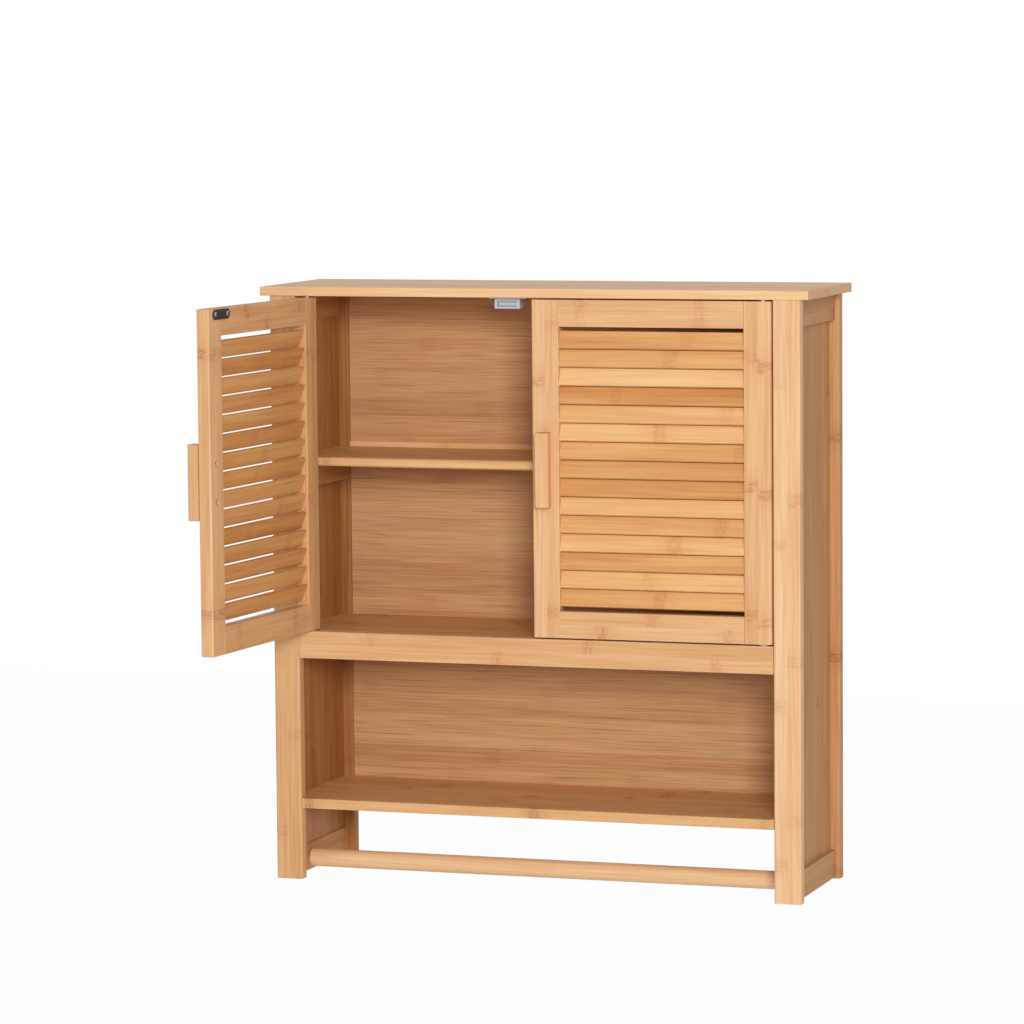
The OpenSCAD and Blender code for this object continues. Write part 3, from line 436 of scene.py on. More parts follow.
def layGrain(piece, along, across, wearAndHighlight=1.0):
    # keeps each point's place along and across the fibres, in mm, and marks its rounded edges, as
    # far as they are painted pale, partly for sanding wear and partly as a painted highlight, and its
    # sawn ends
    third = ({"X", "Y", "Z"} - {along, across}).pop()
    order = ["XYZ".index(axis) for axis in (along, across, third)]
    mesh = piece.data
    for name in ("grain", "eased", "ends"):
        if name in mesh.attributes:
            mesh.attributes.remove(mesh.attributes[name])
    points = np.empty(len(mesh.vertices) * 3, np.float32)
    mesh.vertices.foreach_get("co", points)
    points = points.reshape(-1, 3)[:, order] / mm
    mesh.attributes.new("grain", "FLOAT_VECTOR", "POINT").data.foreach_set("vector", points.ravel())
    eased = [wearAndHighlight if max(abs(c) for c in face.normal) < 0.998 else 0.0 for face in mesh.polygons]
    mesh.attributes.new("eased", "FLOAT", "FACE").data.foreach_set("value", eased)
    ends = [1.0 if abs(face.normal[order[0]]) > 0.9 else 0.0 for face in mesh.polygons]
    mesh.attributes.new("ends", "FLOAT", "FACE").data.foreach_set("value", ends)
    return piece


# where the stems had their nodes, in mm along the piece as it stands in the closed left half of the
# cabinet: in its odd strips, in its even strips, the spacing, and how plainly they show from 0 to
# 1; other pieces get theirs by number
stemNodes = {
    "frontPostLeft": (-538, -430, 190, 0.40), "frontPostRight": (-159, -378, 172, 0.45),
    "rearPostLeft": (-300, -483, 242, 0.50), "rearPostRight": (-104, -220, 242, 1.0),
    "floorFrontRail": (-41, -185, 248, 0.60),
    "rightDoorHingeStile": (-17, -8, 137, 0.85), "rightDoorFreeStile": (-285, -36, 310, 0.75),
    "rightDoorTopRail": (-56, -56, 133, 0.60), "rightDoorBottomRail": (-79, -135, 142, 1.0),
    "leftDoorHingeStile": (-14, -8, 160, 0.70), "leftDoorFreeStile": (5, 5, 274, 1.0),
    "leftDoorTopRail": (-142, -93, 128, 1.0), "leftDoorBottomRail": (-66, -66, 137, 0.60),
    "leftDoorHandle": (300, 300, 900, 0), "rightDoorHandle": (300, 300, 900, 0),
    "lowShelf": (0, 0, 260, 0.75), "towelBar": (0, 0, 400, 0.10),
}


# steps from plank to plank, and where they start again: mm along, whole strips, mm deep; then the
# steps of the node places in odd and even strips
plankSteps = {"along": (137.3, 977), "strips": (7, 101), "deep": (23.9, 401), "odd": 53, "even": 97}


def chooseWood(piece, look, wood, tone):
    # takes the piece from plank number wood: shifts its grain by whole strips and sets its nodes and
    # its tone, 0 deep to 1 pale
    mesh = piece.data
    grain = mesh.attributes["grain"].data
    points = np.empty(len(grain) * 3, np.float32)
    grain.foreach_get("vector", points)
    points = points.reshape(-1, 3)
    strip = look["stripWidth"]
    width = np.ptp(points[:, 1])
    middle = points[:, 1].min() + width / 2
    moved, strips, deep = [wood * step % end for step, end in
                           (plankSteps["along"], plankSteps["strips"], plankSteps["deep"])]
    start = 2 * strip * strips + (strip / 2 if width < 1.3 * strip else 0)
    points += np.array([moved, start - middle, deep], np.float32)
    grain.foreach_set("vector", points.ravel())
    pitch = look["nodePitch"]
    odd, even, spacing, marks = stemNodes.get(
        piece.name, (wood * plankSteps["odd"] % pitch, wood * plankSteps["even"] % pitch, pitch, 0.7))
    stems = np.tile(np.array([odd + moved, even + moved, spacing], np.float32), len(points))
    mesh.attributes.new("stems", "FLOAT_VECTOR", "POINT").data.foreach_set("vector", stems)
    for name, value in (("tone", tone), ("marks", marks), ("scatter", float(width > 3 * strip))):
        values = np.full(len(points), value, np.float32)
        mesh.attributes.new(name, "FLOAT", "POINT").data.foreach_set("value", values)


def copyPiece(piece, name, place):
    copy = piece.copy()
    copy.data = piece.data.copy()
    copy.name = name
    bpy.context.scene.collection.objects.link(copy)
    copy.matrix_world = place @ copy.matrix_world
    settle(copy)
    # the faces of a mirrored copy are turned outwards again
    if place.determinant() < 0:
        bpy.ops.object.mode_set(mode="EDIT")
        bpy.ops.mesh.select_all(action="SELECT")
        bpy.ops.mesh.normals_make_consistent(inside=False)
        bpy.ops.object.mode_set(mode="OBJECT")
    return copy


otherSide = Matrix.Scale(-1, 4, (1, 0, 0))


def shift(x, y, z):
    return Matrix.Translation((x * mm, y * mm, z * mm))


def bothSides(left, node):
    # the piece and its copy on the right, each with its node: left or right is put after a _
    right = copyPiece(left, left.name.replace("Left", "Right"), otherSide)
    return [(piece, node + side if node.endswith("_") else node)
            for piece, side in ((left, "left"), (right, "right"))]


def finishPiece(piece, material, body, node):
    pick(piece)
    piece.data.name = piece.name
    piece.data.materials.clear()
    piece.data.materials.append(materials[material])
    bpy.ops.object.shade_smooth_by_angle(angle=math.radians(35))
    even = piece.modifiers.new("even", "WEIGHTED_NORMAL")
    even.keep_sharp = True
    bpy.ops.object.modifier_apply(modifier=even.name)
    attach(piece, body)
    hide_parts(node)


def finishWood(piece, material, body, node, wood, tone):
    chooseWood(piece, looks[material], wood, tone)
    finishPiece(piece, material, body, node)


def planedBoard(name, low, high, along, across, edge, ends):
    # a board with its long edges rounded, and the edges of its ends too where ends isn't 0
    piece = addBlock(name, low, high)
    roundEdges(piece, edge, lambda e: runsAlong(e, along), 4)
    way = "XYZ".index(along)

    def onEnd(e):
        middle = edgeMiddle(e)[way]
        return min(abs(middle - low[way]), abs(middle - high[way])) < near and not runsAlong(e, along)

    if ends:
        roundEdges(piece, ends, onEnd, 2)
    return layGrain(piece, along, across)


def nodeSize(node):
    # lowest and highest corner of a CAD node in mm
    return [[round(c / mm, 2) for c in corner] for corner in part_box(node)]


# single boards of the cabinet, each where its node is; "run" is the way along and across the fibres,
# and "hidden" is what is left off at each end and at the top, where it sits in another piece
boards = {
    "topBoard": {"node": "top_board", "look": "topBamboo", "run": "XY", "edge": 1.0, "ends": 0.8,
                 "wood": 3, "tone": 0.51},
    "floorFrontRail": {"node": "floor_front_rail", "look": "frameBamboo", "run": "XZ", "edge": 1.0,
                       "ends": 0, "wood": 131, "tone": 0.34},
    "floorRearRail": {"node": "floor_rear_rail", "look": "sideBambooPaintedShade", "run": "XZ", "edge": 1.0,
                      "ends": 0, "wood": 137, "tone": 0.5, "slot": "bamboo_inside",
                      "hidden": (5, 0)},
    "backCrossRail": {"node": "back_cross_rail", "look": "frameBamboo", "run": "XZ", "edge": 1.0,
                      "ends": 0, "wood": 143, "tone": 0.5, "hidden": (5, 0)},
    "backPanelUpper": {"node": "back_panel_upper", "look": "backBambooPaintedShade", "run": "XZ", "edge": 0.3,
                       "ends": 0, "wood": 151, "tone": 0.5, "hidden": (0, 3.1)},
    "backPanelMiddle": {"node": "back_panel_middle", "look": "backBambooPaintedShade", "run": "XZ", "edge": 0.3,
                        "ends": 0, "wood": 155, "tone": 0.5},
    "backPanelLower": {"node": "back_panel_lower", "look": "backBambooPaintedShade", "run": "XZ", "edge": 0.3,
                       "ends": 0, "wood": 159, "tone": 0.5},
}


def makeBoards():
    for name, size in boards.items():
        low, high = nodeSize(size["node"])
        end, top = size.get("hidden", (0, 0))
        board = planedBoard(name, (low[0] + end, *low[1:]), (high[0] - end, high[1], high[2] - top),
                            *size["run"], size["edge"], size["ends"])
        finishWood(board, size["look"], "cabinet", size["node"], size["wood"], size["tone"])


makeBoards()
print("top board, rails and back made")

# pieces that stand on both sides; woods and tones are for left and right
sidePairs = {
    "frontPost": {"node": "front_post_", "look": "frameBamboo", "run": "ZX", "edge": 2.5, "ends": 0.5,
                  "woods": (11, 18), "tones": (0.31, 0.58)},
    "rearPost": {"node": "rear_post_", "look": "sideBambooPaintedShade", "run": "ZX", "edge": 2.5, "ends": 0.5,
                 "woods": (25, 32), "tones": (0.12, 0.50)},
    "topRail": {"node": "top_rail_", "look": "sideBambooPaintedShade", "run": "YZ", "edge": 1.0, "ends": 0,
                "woods": (41, 71), "tones": (0.32, 0.48)},
    "bottomRail": {"node": "bottom_rail_", "look": "sideBambooPaintedShade", "run": "YZ", "edge": 1.0, "ends": 0,
                   "woods": (46, 76), "tones": (0.32, 0.48)},
    "sidePanel": {"node": "side_panel_", "look": "sideBambooPaintedShade", "run": "ZY", "edge": 0.4, "ends": 0,
                  "woods": (51, 81), "tones": (0.15, 0.46)},
    "shelfCleat": {"node": "shelf_cleat_", "look": "sideBambooPaintedShade", "run": "YZ", "edge": 1.0, "ends": 0.5,
                   "woods": (56, 86), "tones": (0.30, 0.40), "slot": "bamboo_inside"},
    "floorCleat": {"node": "floor_cleat_", "look": "sideBambooPaintedShade", "run": "YZ", "edge": 1.0, "ends": 0.5,
                   "woods": (61, 91), "tones": (0.30, 0.40), "slot": "bamboo_inside"},
}
# keyhole plate in the back of a rear post, and the hollow behind it for the head of the wall screw
hanger = {
    "x": -285, "width": 18, "length": 50, "thick": 1.5, "corner": 3, "edge": 0.3, "screws": 20,
    "headHole": 9, "slot": 4.6, "rise": 10, "hollowWidth": 12, "hollowDeep": 6, "hollowZ": (-6, 14),
}


def cutHangerSeat(post):
    x, half = hanger["x"], hanger["width"] / 2
    seat = addBlock("seat", (x - half, -hanger["thick"], -hanger["length"] / 2),
                    (x + half, clear, hanger["length"] / 2))
    roundEdges(seat, hanger["corner"], lambda e: runsAlong(e, "Y"), 6)
    half = hanger["hollowWidth"] / 2
    hollow = addBlock("hollow", (x - half, -hanger["hollowDeep"], hanger["hollowZ"][0]),
                      (x + half, clear, hanger["hollowZ"][1]))
    cutAway(post, seat, hollow)
    layGrain(post, "Z", "X", 0.0)


def makeSidePairs():
    for name, size in sidePairs.items():
        left = planedBoard(name + "Left", *nodeSize(size["node"] + "left"), *size["run"], size["edge"],
                           size["ends"])
        if name == "rearPost":
            cutHangerSeat(left)
        for (piece, node), wood, tone in zip(bothSides(left, size["node"]), size["woods"],
                                             size["tones"]):
            finishWood(piece, size["look"], "cabinet", node, wood, tone)


makeSidePairs()
print("posts and sides made")

# only the front edges of the shelves are rounded; a tongue is how far an end reaches out between the
# posts, into the side panel
shelves = {
    "midShelf": {"node": "mid_shelf", "edge": 3.8, "tongue": 0, "wood": 101, "tone": 0.6},
    "floorBoard": {"node": "floor_board", "edge": 0.4, "tongue": 0, "wood": 110, "tone": 0.44,
                   "slot": "bamboo_inside"},
    "lowShelf": {"node": "low_shelf", "edge": 1.0, "tongue": 15, "tongueY": (-165, -15), "wood": 119,
                 "tone": 0.50},
}


def makeShelves():
    for name, size in shelves.items():
        low, high = nodeSize(size["node"])
        tongue = size["tongue"]
        board = addBlock(name, (low[0] + tongue, *low[1:]), (high[0] - tongue, *high[1:]))
        if tongue:
            front, rear = size["tongueY"]
            pick(board)
            bpy.ops.object.mode_set(mode="EDIT")
            for y in (front, rear):
                bpy.ops.mesh.select_all(action="SELECT")
                bpy.ops.mesh.bisect(plane_co=(0, y * mm, 0), plane_no=(0, 1, 0))
            bpy.ops.object.mode_set(mode="OBJECT")
            for side in ("-X", "+X"):
                stepFace(board, lambda f: faces(f, side)
                         and front < f.calc_center_median().y / mm < rear, 0, tongue)
        roundEdges(board, size["edge"],
                   lambda e: runsAlong(e, "X") and abs(edgeMiddle(e)[1] - low[1]) < near, 6)
        layGrain(board, "X", "Y")
        finishWood(board, "shelfBambooPaintedShade", "cabinet", size["node"], size["wood"], size["tone"])


makeShelves()

towelBar = {"y": -120, "z": -577, "diameter": 20, "reach": 290, "edge": 1.2, "wood": 171, "tone": 0.55}
bar = addRod("towelBar", (0, towelBar["y"], towelBar["z"]), towelBar["diameter"],
             towelBar["reach"] * 2, "X", 64)
roundEdges(bar, towelBar["edge"], lambda e: abs(abs(edgeMiddle(e)[0]) - towelBar["reach"]) < near, 3)
layGrain(bar, "X", "Z")
finishWood(bar, "frameBamboo", "cabinet", "towel_bar", towelBar["wood"], towelBar["tone"])
print("shelves and towel bar made")


# each door piece is made on the closed left door, then copied to the right and turned on the left

doors = {
    "openAngle": 94, "pivot": (-258.3, -172.75), "front": -180, "back": -165.5,
    "bottom": -313.4, "top": 51.7, "railHeight": 29, "stileWidth": 30,
    "hingeSide": -268.3, "freeSide": -2, "hingeEdge": 3, "freeEdge": 2, "innerEdge": 0.8,
    "endEdge": 0.5,
    # number of the plank, and tones left and right; the right door's plank is plankStep further on; the
    # left tones are lower, partly painted shade on the open door's inner faces
    "hingeWood": (201, (0.25, 0.39)), "freeWood": (207, (0.43, 0.52)),
    "topWood": (213, (0.24, 0.41)), "bottomWood": (219, (0.28, 0.42)), "plankStep": 31,
}
pivot = shift(doors["pivot"][0], doors["pivot"][1], 0)
doorTurn = pivot @ Matrix.Rotation(-math.radians(doors["openAngle"]), 4, "Z") @ pivot.inverted()


def hangPair(piece, name, node, material, wood=None, tones=None):
    # the piece goes to both doors: "left" and "right" are put before its name
    right = copyPiece(piece, "right" + name, otherSide)
    left = copyPiece(piece, "left" + name, doorTurn)
    bpy.data.objects.remove(piece)
    for number, (side, made) in enumerate((("left", left), ("right", right))):
        if wood is None:
            finishPiece(made, material, side + "_door", side + "_" + node)
        else:
            finishWood(made, material, side + "_door", side + "_" + node,
                       wood + number * doors["plankStep"], tones[number])


# a grip on a narrower neck; the counterbores for its screws are in the back of the free stile
handles = {
    "x": -17, "screws": (-151.35, -110.35), "low": -171.1, "high": -90.6,
    "neckWidth": 12.5, "gripWidth": 15.6, "gripFront": -196.5, "gripBack": -183.5, "gripEdge": 2.6,
    "endEdge": 0.7, "counterbore": 8, "counterboreDeep": 5, "wood": (231, (0.40, 0.42)),
}


def makeStile(name, node, outer, inner, radius, wood):
    low, high = doors["bottom"], doors["top"]
    stile = addBlock(name, (min(outer, inner), doors["front"], low),
                     (max(outer, inner), doors["back"], high))
    for side, edge, segments in ((outer, radius, 5), (inner, doors["innerEdge"], 3)):
        roundEdges(stile, edge,
                   lambda e: runsAlong(e, "Z") and abs(edgeMiddle(e)[0] - side) < near, segments)
    roundEdges(stile, doors["endEdge"], lambda e: not runsAlong(e, "Z")
               and min(abs(edgeMiddle(e)[2] - low), abs(edgeMiddle(e)[2] - high)) < near, 2)
    if name == "DoorFreeStile":
        depth = handles["counterboreDeep"]
        middle = doors["back"] + (clear - depth) / 2
        for z in handles["screws"]:
            cutAway(stile, addRod("counterbore", (handles["x"], middle, z), handles["counterbore"],
                                  depth + clear, "Y"))
    layGrain(stile, "Z", "X")
    hangPair(stile, name, node, "frameBamboo", *wood)


def makeDoorFrames():
    hinge, free, width = doors["hingeSide"], doors["freeSide"], doors["stileWidth"]
    makeStile("DoorHingeStile", "door_hinge_stile", hinge, hinge + width, doors["hingeEdge"],
              doors["hingeWood"])
    makeStile("DoorFreeStile", "door_free_stile", free, free - width, doors["freeEdge"],
              doors["freeWood"])
    height = doors["railHeight"]
    for name, node, low, wood in (
            ("DoorTopRail", "door_top_rail", doors["top"] - height, doors["topWood"]),
            ("DoorBottomRail", "door_bottom_rail", doors["bottom"], doors["bottomWood"])):
        rail = planedBoard(name, (hinge + width, doors["front"], low),
                           (free - width, doors["back"], low + height), "X", "Z",
                           doors["innerEdge"], 0)
        hangPair(rail, name, node, "frameBamboo", *wood)


def makeHandles():
    x = handles["x"]
    neck, grip = handles["neckWidth"] / 2, handles["gripWidth"] / 2
    back = handles["gripBack"]
    piece = addBlock("Handle", (x - neck, back, handles["low"]),
                     (x + neck, doors["front"], handles["high"]))
    # the grip grows out of the front of the neck and is then widened
    stepFace(piece, lambda f: faces(f, "-Y"), 0, back - handles["gripFront"])
    pick(piece)
    bpy.ops.object.mode_set(mode="EDIT")
    for side in (-1, 1):
        choose(piece, "FACE", lambda f: f.normal.x * side > 0.99
               and f.calc_center_median().y / mm < back)
        bpy.ops.mesh.extrude_region_move(
            TRANSFORM_OT_translate={"value": ((grip - neck) * side * mm, 0, 0)})
    bpy.ops.object.mode_set(mode="OBJECT")
    roundEdges(piece, handles["gripEdge"], lambda e: runsAlong(e, "Z")
               and abs(abs(edgeMiddle(e)[0] - x) - grip) < near, 5)
    roundEdges(piece, handles["endEdge"], lambda e: not runsAlong(e, "Z")
               and edgeMiddle(e)[1] < back - 0.1
               and min(abs(edgeMiddle(e)[2] - handles["low"]),
                       abs(edgeMiddle(e)[2] - handles["high"])) < near
               and len(e.link_faces) == 2 and e.calc_face_angle(0) > 0.5, 2)
    layGrain(piece, "Z", "X", 0.0)
    hangPair(piece, "DoorHandle", "door_handle", "frameBamboo", *handles["wood"])


makeDoorFrames()
makeHandles()
print("door frames and handles made")

slats = {
    "count": 15, "pitch": 19.9, "middle": -130.85, "width": 19.2, "thick": 5, "lean": 21,
    "edge": 1.0, "from": -242.3, "to": -28, "wood": 251, "plankStep": 3,
    # pale 1 to deep 0, from the lowest slat up; the left door's tones are lower, partly painted shade
    # on the inner faces of the open door
    "rightTones": (0.45, 0.62, 0.30, 0.66, 0.40, 0.62, 0.22, 0.30, 0.40, 0.74, 0.64, 0.14, 0.80,
                   0.42, 0.34),
    "leftTones": (0.20, 0.32, 0.14, 0.28, 0.08, 0.24, 0.36, 0.18, 0.30, 0.12, 0.26, 0.16, 0.22,
                  0.08, 0.28),
    # the place of the stem's node in a slat, or None, where it lies at noNode, past the slat's end
    "noNode": 315, "nodePitch": 900,
    "rightNodes": (-143, -131, None, -159, -211, None, None, None, -234, -143, -219, -95, None,
                   -156, -175),
    "leftNodes": (-221, -225, None, -198, -102, -178, None, -119, -141, -117, None, -153, None,
                  -196, None),
}


def makeSlats():
    halfThick, halfWide = slats["thick"] / 2, slats["width"] / 2
    slat = addBlock("slat", (slats["from"], -halfThick, -halfWide), (slats["to"], halfThick, halfWide))
    roundEdges(slat, slats["edge"], lambda e: runsAlong(e, "X"), 5)
    layGrain(slat, "X", "Z", 0.0)
    middleY = (doors["front"] + doors["back"]) / 2
    for side in ("left", "right"):
        for number, place in enumerate(slats[side + "Nodes"]):
            stemNodes["%sDoorSlat%02d" % (side, number + 1)] = (
                0, place or slats["noNode"], slats["nodePitch"], 1.0)
    for number in range(slats["count"]):
        height = slats["middle"] + (number - (slats["count"] - 1) / 2) * slats["pitch"]
        lean = Matrix.Rotation(math.radians(-slats["lean"]), 4, "X")
        piece = copyPiece(slat, "slat", shift(0, middleY, height) @ lean)
        hangPair(piece, "DoorSlat%02d" % (number + 1), "door_slats", "slatBamboo",
                 slats["wood"] + number * slats["plankStep"],
                 (slats["leftTones"][number], slats["rightTones"][number]))
    bpy.data.objects.remove(slat)


makeSlats()
print("slats made")


# flat heads are countersunk into the strike and hanger plates, round ones hold catches and handles;
# tip and dome are steps, each with how far it draws in and how far it goes, and cross is its span,
# the width of its arms and its depth
screws = {
    "flat": {"head": 5.6, "thick": 1.2, "shank": 2.8, "straight": 5.4, "tip": (0.9, 0.9),
             "cross": (2.9, 0.7, 0.7), "dome": ((0, 0.15), (0.4, 0.25), (0.7, 0.2))},
    "catch": {"head": 5.6, "thick": 1.2, "shank": 2.8, "straight": 5.2, "tip": (0.84, 1),
              "cross": (2.912, 0.8, 0.9), "edge": 0.84},
    "handle": {"head": 7, "thick": 2.2, "shank": 3.4, "straight": 16.5, "tip": (1.02, 1),
               "cross": (3.64, 0.8, 0.9), "edge": 0.84},
}


def cutCross(screw, face, width, arm, depth):
    # face is the height of the head's outer face
    for x, y in ((width / 2, arm / 2), (arm / 2, width / 2)):
        cutAway(screw, addBlock("cross", (-x, -y, face - clear), (x, y, face + depth)))
    return screw


def makeFlatScrew(raised=False):
    # head face at the origin and shank along +Z; a raised head is slightly domed
    size = screws["flat"]
    screw = addRod("flatScrew", (0, 0, size["thick"] / 2), size["head"], size["thick"], "Z", 32,
                   size["shank"])
    stepFace(screw, lambda f: faces(f, "+Z"), 0, size["straight"])
    stepFace(screw, lambda f: faces(f, "+Z"), *size["tip"])
    for inset, push in size["dome"] if raised else ():
        stepFace(screw, lambda f: faces(f, "-Z"), 0, push)
        share = 1 - 2 * inset / size["head"]
        bpy.ops.object.mode_set(mode="EDIT")
        bpy.ops.transform.resize(value=(share, share, 1))
        bpy.ops.object.mode_set(mode="OBJECT")
    return cutCross(screw, 0, *size["cross"])


def makeRoundScrew(kind):
    # domed head below the origin, shank along +Z
    size = screws[kind]
    head, thick, shank = [size[key] for key in ("head", "thick", "shank")]
    screw = addRod("roundScrew", (0, 0, -thick / 2), head, thick, "Z", 32)
    roundEdges(screw, size["edge"], lambda e: edgeMiddle(e)[2] < -thick + near, 3)
    stepFace(screw, lambda f: faces(f, "+Z"), (head - shank) / 2, size["straight"])
    stepFace(screw, lambda f: faces(f, "+Z"), *size["tip"])
    return cutCross(screw, -thick, *size["cross"])


def driveForward(x, y, z, turn=0):
    # where a screw's head sits at this place and its shank points to the front of the cabinet
    return shift(x, y, z) @ Matrix.Rotation(math.pi / 2, 4, "X") @ Matrix.Rotation(turn, 4, "Z")


# the catch hangs under the top board, and its pole plates face the strike plate on the closed door
strike = {"x": -31, "z": 45.5, "face": -164.3, "length": 39.4, "height": 11, "thick": 1.2, "edge": 0.4}
catch = {
    "width": 29, "front": -163, "deep": 13, "low": 40.5, "top": 53.5, "edge": 0.8,
    "earSpan": 43, "earThick": 2.5, "earDeep": 9, "earCorner": 2, "screws": 18,
    "poleWidth": 22, "poleFront": -164, "poleDeep": 11, "poleThick": 1, "poleEdge": 0.25,
    "magnet": 4, "magnetWidth": 21, "magnetDeep": 9, "magnetEdge": 0.4,
}


def makeStrikePlates():
    x, z, face = strike["x"], strike["z"], strike["face"]
    plate = addRod("plate", (x, face - strike["thick"] / 2, z), strike["height"], strike["thick"], "Y")
    # a disc pulled apart in its middle has round ends and straight sides
    pick(plate)
    bpy.ops.object.mode_set(mode="EDIT")
    pull = (strike["length"] - strike["height"]) / 2
    for side in (-1, 1):
        choose(plate, "VERT", lambda v: (v.co.x / mm - x) * side > near)
        bpy.ops.transform.translate(value=(pull * side * mm, 0, 0))
    bpy.ops.object.mode_set(mode="OBJECT")
    roundEdges(plate, strike["edge"], lambda e: edgeMiddle(e)[1] > face - near
               and not e.link_faces[0].normal.dot(e.link_faces[1].normal) > 0.9, 2)
    hangPair(plate, "DoorStrikePlate", "strike_plate", "blackenedSteel")
    pattern = makeFlatScrew(raised=True)
    for number, side in enumerate((-1, 1)):
        screw = copyPiece(pattern, "screw", driveForward(x + pull * side, face, z, 0.5 + number))
        hangPair(screw, "DoorStrikeScrew%d" % (number + 1), "strike_screws", "zincPlatedSteel")
    bpy.data.objects.remove(pattern)


def makeHangers():
    x, half, rise = hanger["x"], hanger["width"] / 2, hanger["rise"]
    plate = addBlock("hangerPlateLeft", (x - half, -hanger["thick"], -hanger["length"] / 2),
                     (x + half, 0, hanger["length"] / 2))
    roundEdges(plate, hanger["corner"], lambda e: runsAlong(e, "Y"), 6)
    roundEdges(plate, hanger["edge"], lambda e: edgeMiddle(e)[1] > -near, 2)
    slot, middle = hanger["slot"], -hanger["thick"] / 2
    through = hanger["thick"] + 2 * clear
    cutAway(plate, addRod("hole", (x, middle, 0), hanger["headHole"], through, "Y", 40),
            addBlock("slot", (x - slot / 2, middle - through / 2, 0),
                     (x + slot / 2, middle + through / 2, rise)),
            addRod("hole", (x, middle, rise), slot, through, "Y", 32))
    for piece, node in bothSides(plate, "hanger_plate_"):
        finishPiece(piece, "zincPlatedSteel", "cabinet", node)
    pattern = makeFlatScrew()
    for number, side in enumerate((-1, 1)):
        screw = copyPiece(pattern, "hangerScrew%dLeft" % (number + 1),
                          driveForward(x, 0, side * hanger["screws"]))
        for piece, node in bothSides(screw, "hanger_screws"):
            finishPiece(piece, "zincPlatedSteel", "cabinet", node)
    bpy.data.objects.remove(pattern)


def makeCatches():
    x, z = strike["x"], strike["z"]
    front, low, top = catch["front"], catch["low"], catch["top"]
    half, halfPole, halfMagnet = [catch[key] / 2 for key in ("width", "poleWidth", "magnetWidth")]
    middleY = front + catch["deep"] / 2
    thick = catch["poleThick"]
    poleFront, poleBack = catch["poleFront"], catch["poleFront"] + catch["poleDeep"]

    housing = addBlock("catchHousingLeft", (x - half, front, low),
                       (x + half, front + catch["deep"], top))
    roundEdges(housing, catch["edge"],
               lambda e: runsAlong(e, "Z") or edgeMiddle(e)[2] < low + near, 3)
    reach, deep = catch["earSpan"] / 2, catch["earDeep"] / 2
    ears = addBlock("ears", (x - reach, middleY - deep, top - catch["earThick"]),
                    (x + reach, middleY + deep, top))
    roundEdges(ears, catch["earCorner"], lambda e: runsAlong(e, "Z"), 5)
    combine(housing, "UNION", [ears])
    stack = catch["magnet"] / 2 + thick
    cutAway(housing, addBlock("pocket", (x - halfPole, front - clear, z - stack),
                              (x + halfPole, poleBack, z + stack)))
    magnet = addBlock("catchMagnetLeft",
                      (x - halfMagnet, poleBack - catch["magnetDeep"], z - catch["magnet"] / 2),
                      (x + halfMagnet, poleBack, z + catch["magnet"] / 2))
    roundEdges(magnet, catch["magnetEdge"], lambda e: True, 2)
    made = [(housing, "mouldedPlasticPaintedShade", "catch_housing_"), (magnet, "nickelPlate", "catch_magnets")]
    pattern = makeRoundScrew("catch")
    for number, side in enumerate((-1, 1)):
        middle = z + side * (catch["magnet"] + thick) / 2
        plate = addBlock("catchPolePlate%dLeft" % (number + 1),
                         (x - halfPole, poleFront, middle - thick / 2),
                         (x + halfPole, poleBack, middle + thick / 2))
        roundEdges(plate, catch["poleEdge"], lambda e: edgeMiddle(e)[1] < poleFront + near, 2)
        place = shift(x + side * catch["screws"], middleY, top - catch["earThick"])
        screw = copyPiece(pattern, "catchScrew%dLeft" % (number + 1),
                          place @ Matrix.Rotation(0.4 + number, 4, "Z"))
        made += [(plate, "zincPlatedSteel", "catch_pole_plates"),
                 (screw, "blackenedSteel", "catch_screws")]
    bpy.data.objects.remove(pattern)
    for left, material, name in made:
        for piece, node in bothSides(left, name):
            finishPiece(piece, material, "cabinet", node)


def makeHandleScrews():
    pattern = makeRoundScrew("handle")
    seat = doors["back"] - handles["counterboreDeep"]
    for number, z in enumerate(handles["screws"]):
        screw = copyPiece(pattern, "screw", driveForward(handles["x"], seat, z, 0.3 + number))
        hangPair(screw, "DoorHandleScrew%d" % (number + 1), "handle_screws", "blackenedSteel")
    bpy.data.objects.remove(pattern)


# a collared pin in each end of the hinge stile, turning in a flanged bushing above or below the door
pivots = {
    "collar": 9, "collarThick": 0.5, "pin": 5, "pinEdge": 0.6, "seat": 18,
    "reach": {"Upper": 7.3, "Lower": 7.1}, "bushingFace": {"Upper": 53.5, "Lower": -315},
    "flange": 10, "flangeThick": 0.8, "bushing": 8, "bushingDeep": 8, "bore": 5.12, "boreDeep": 7.3,
}


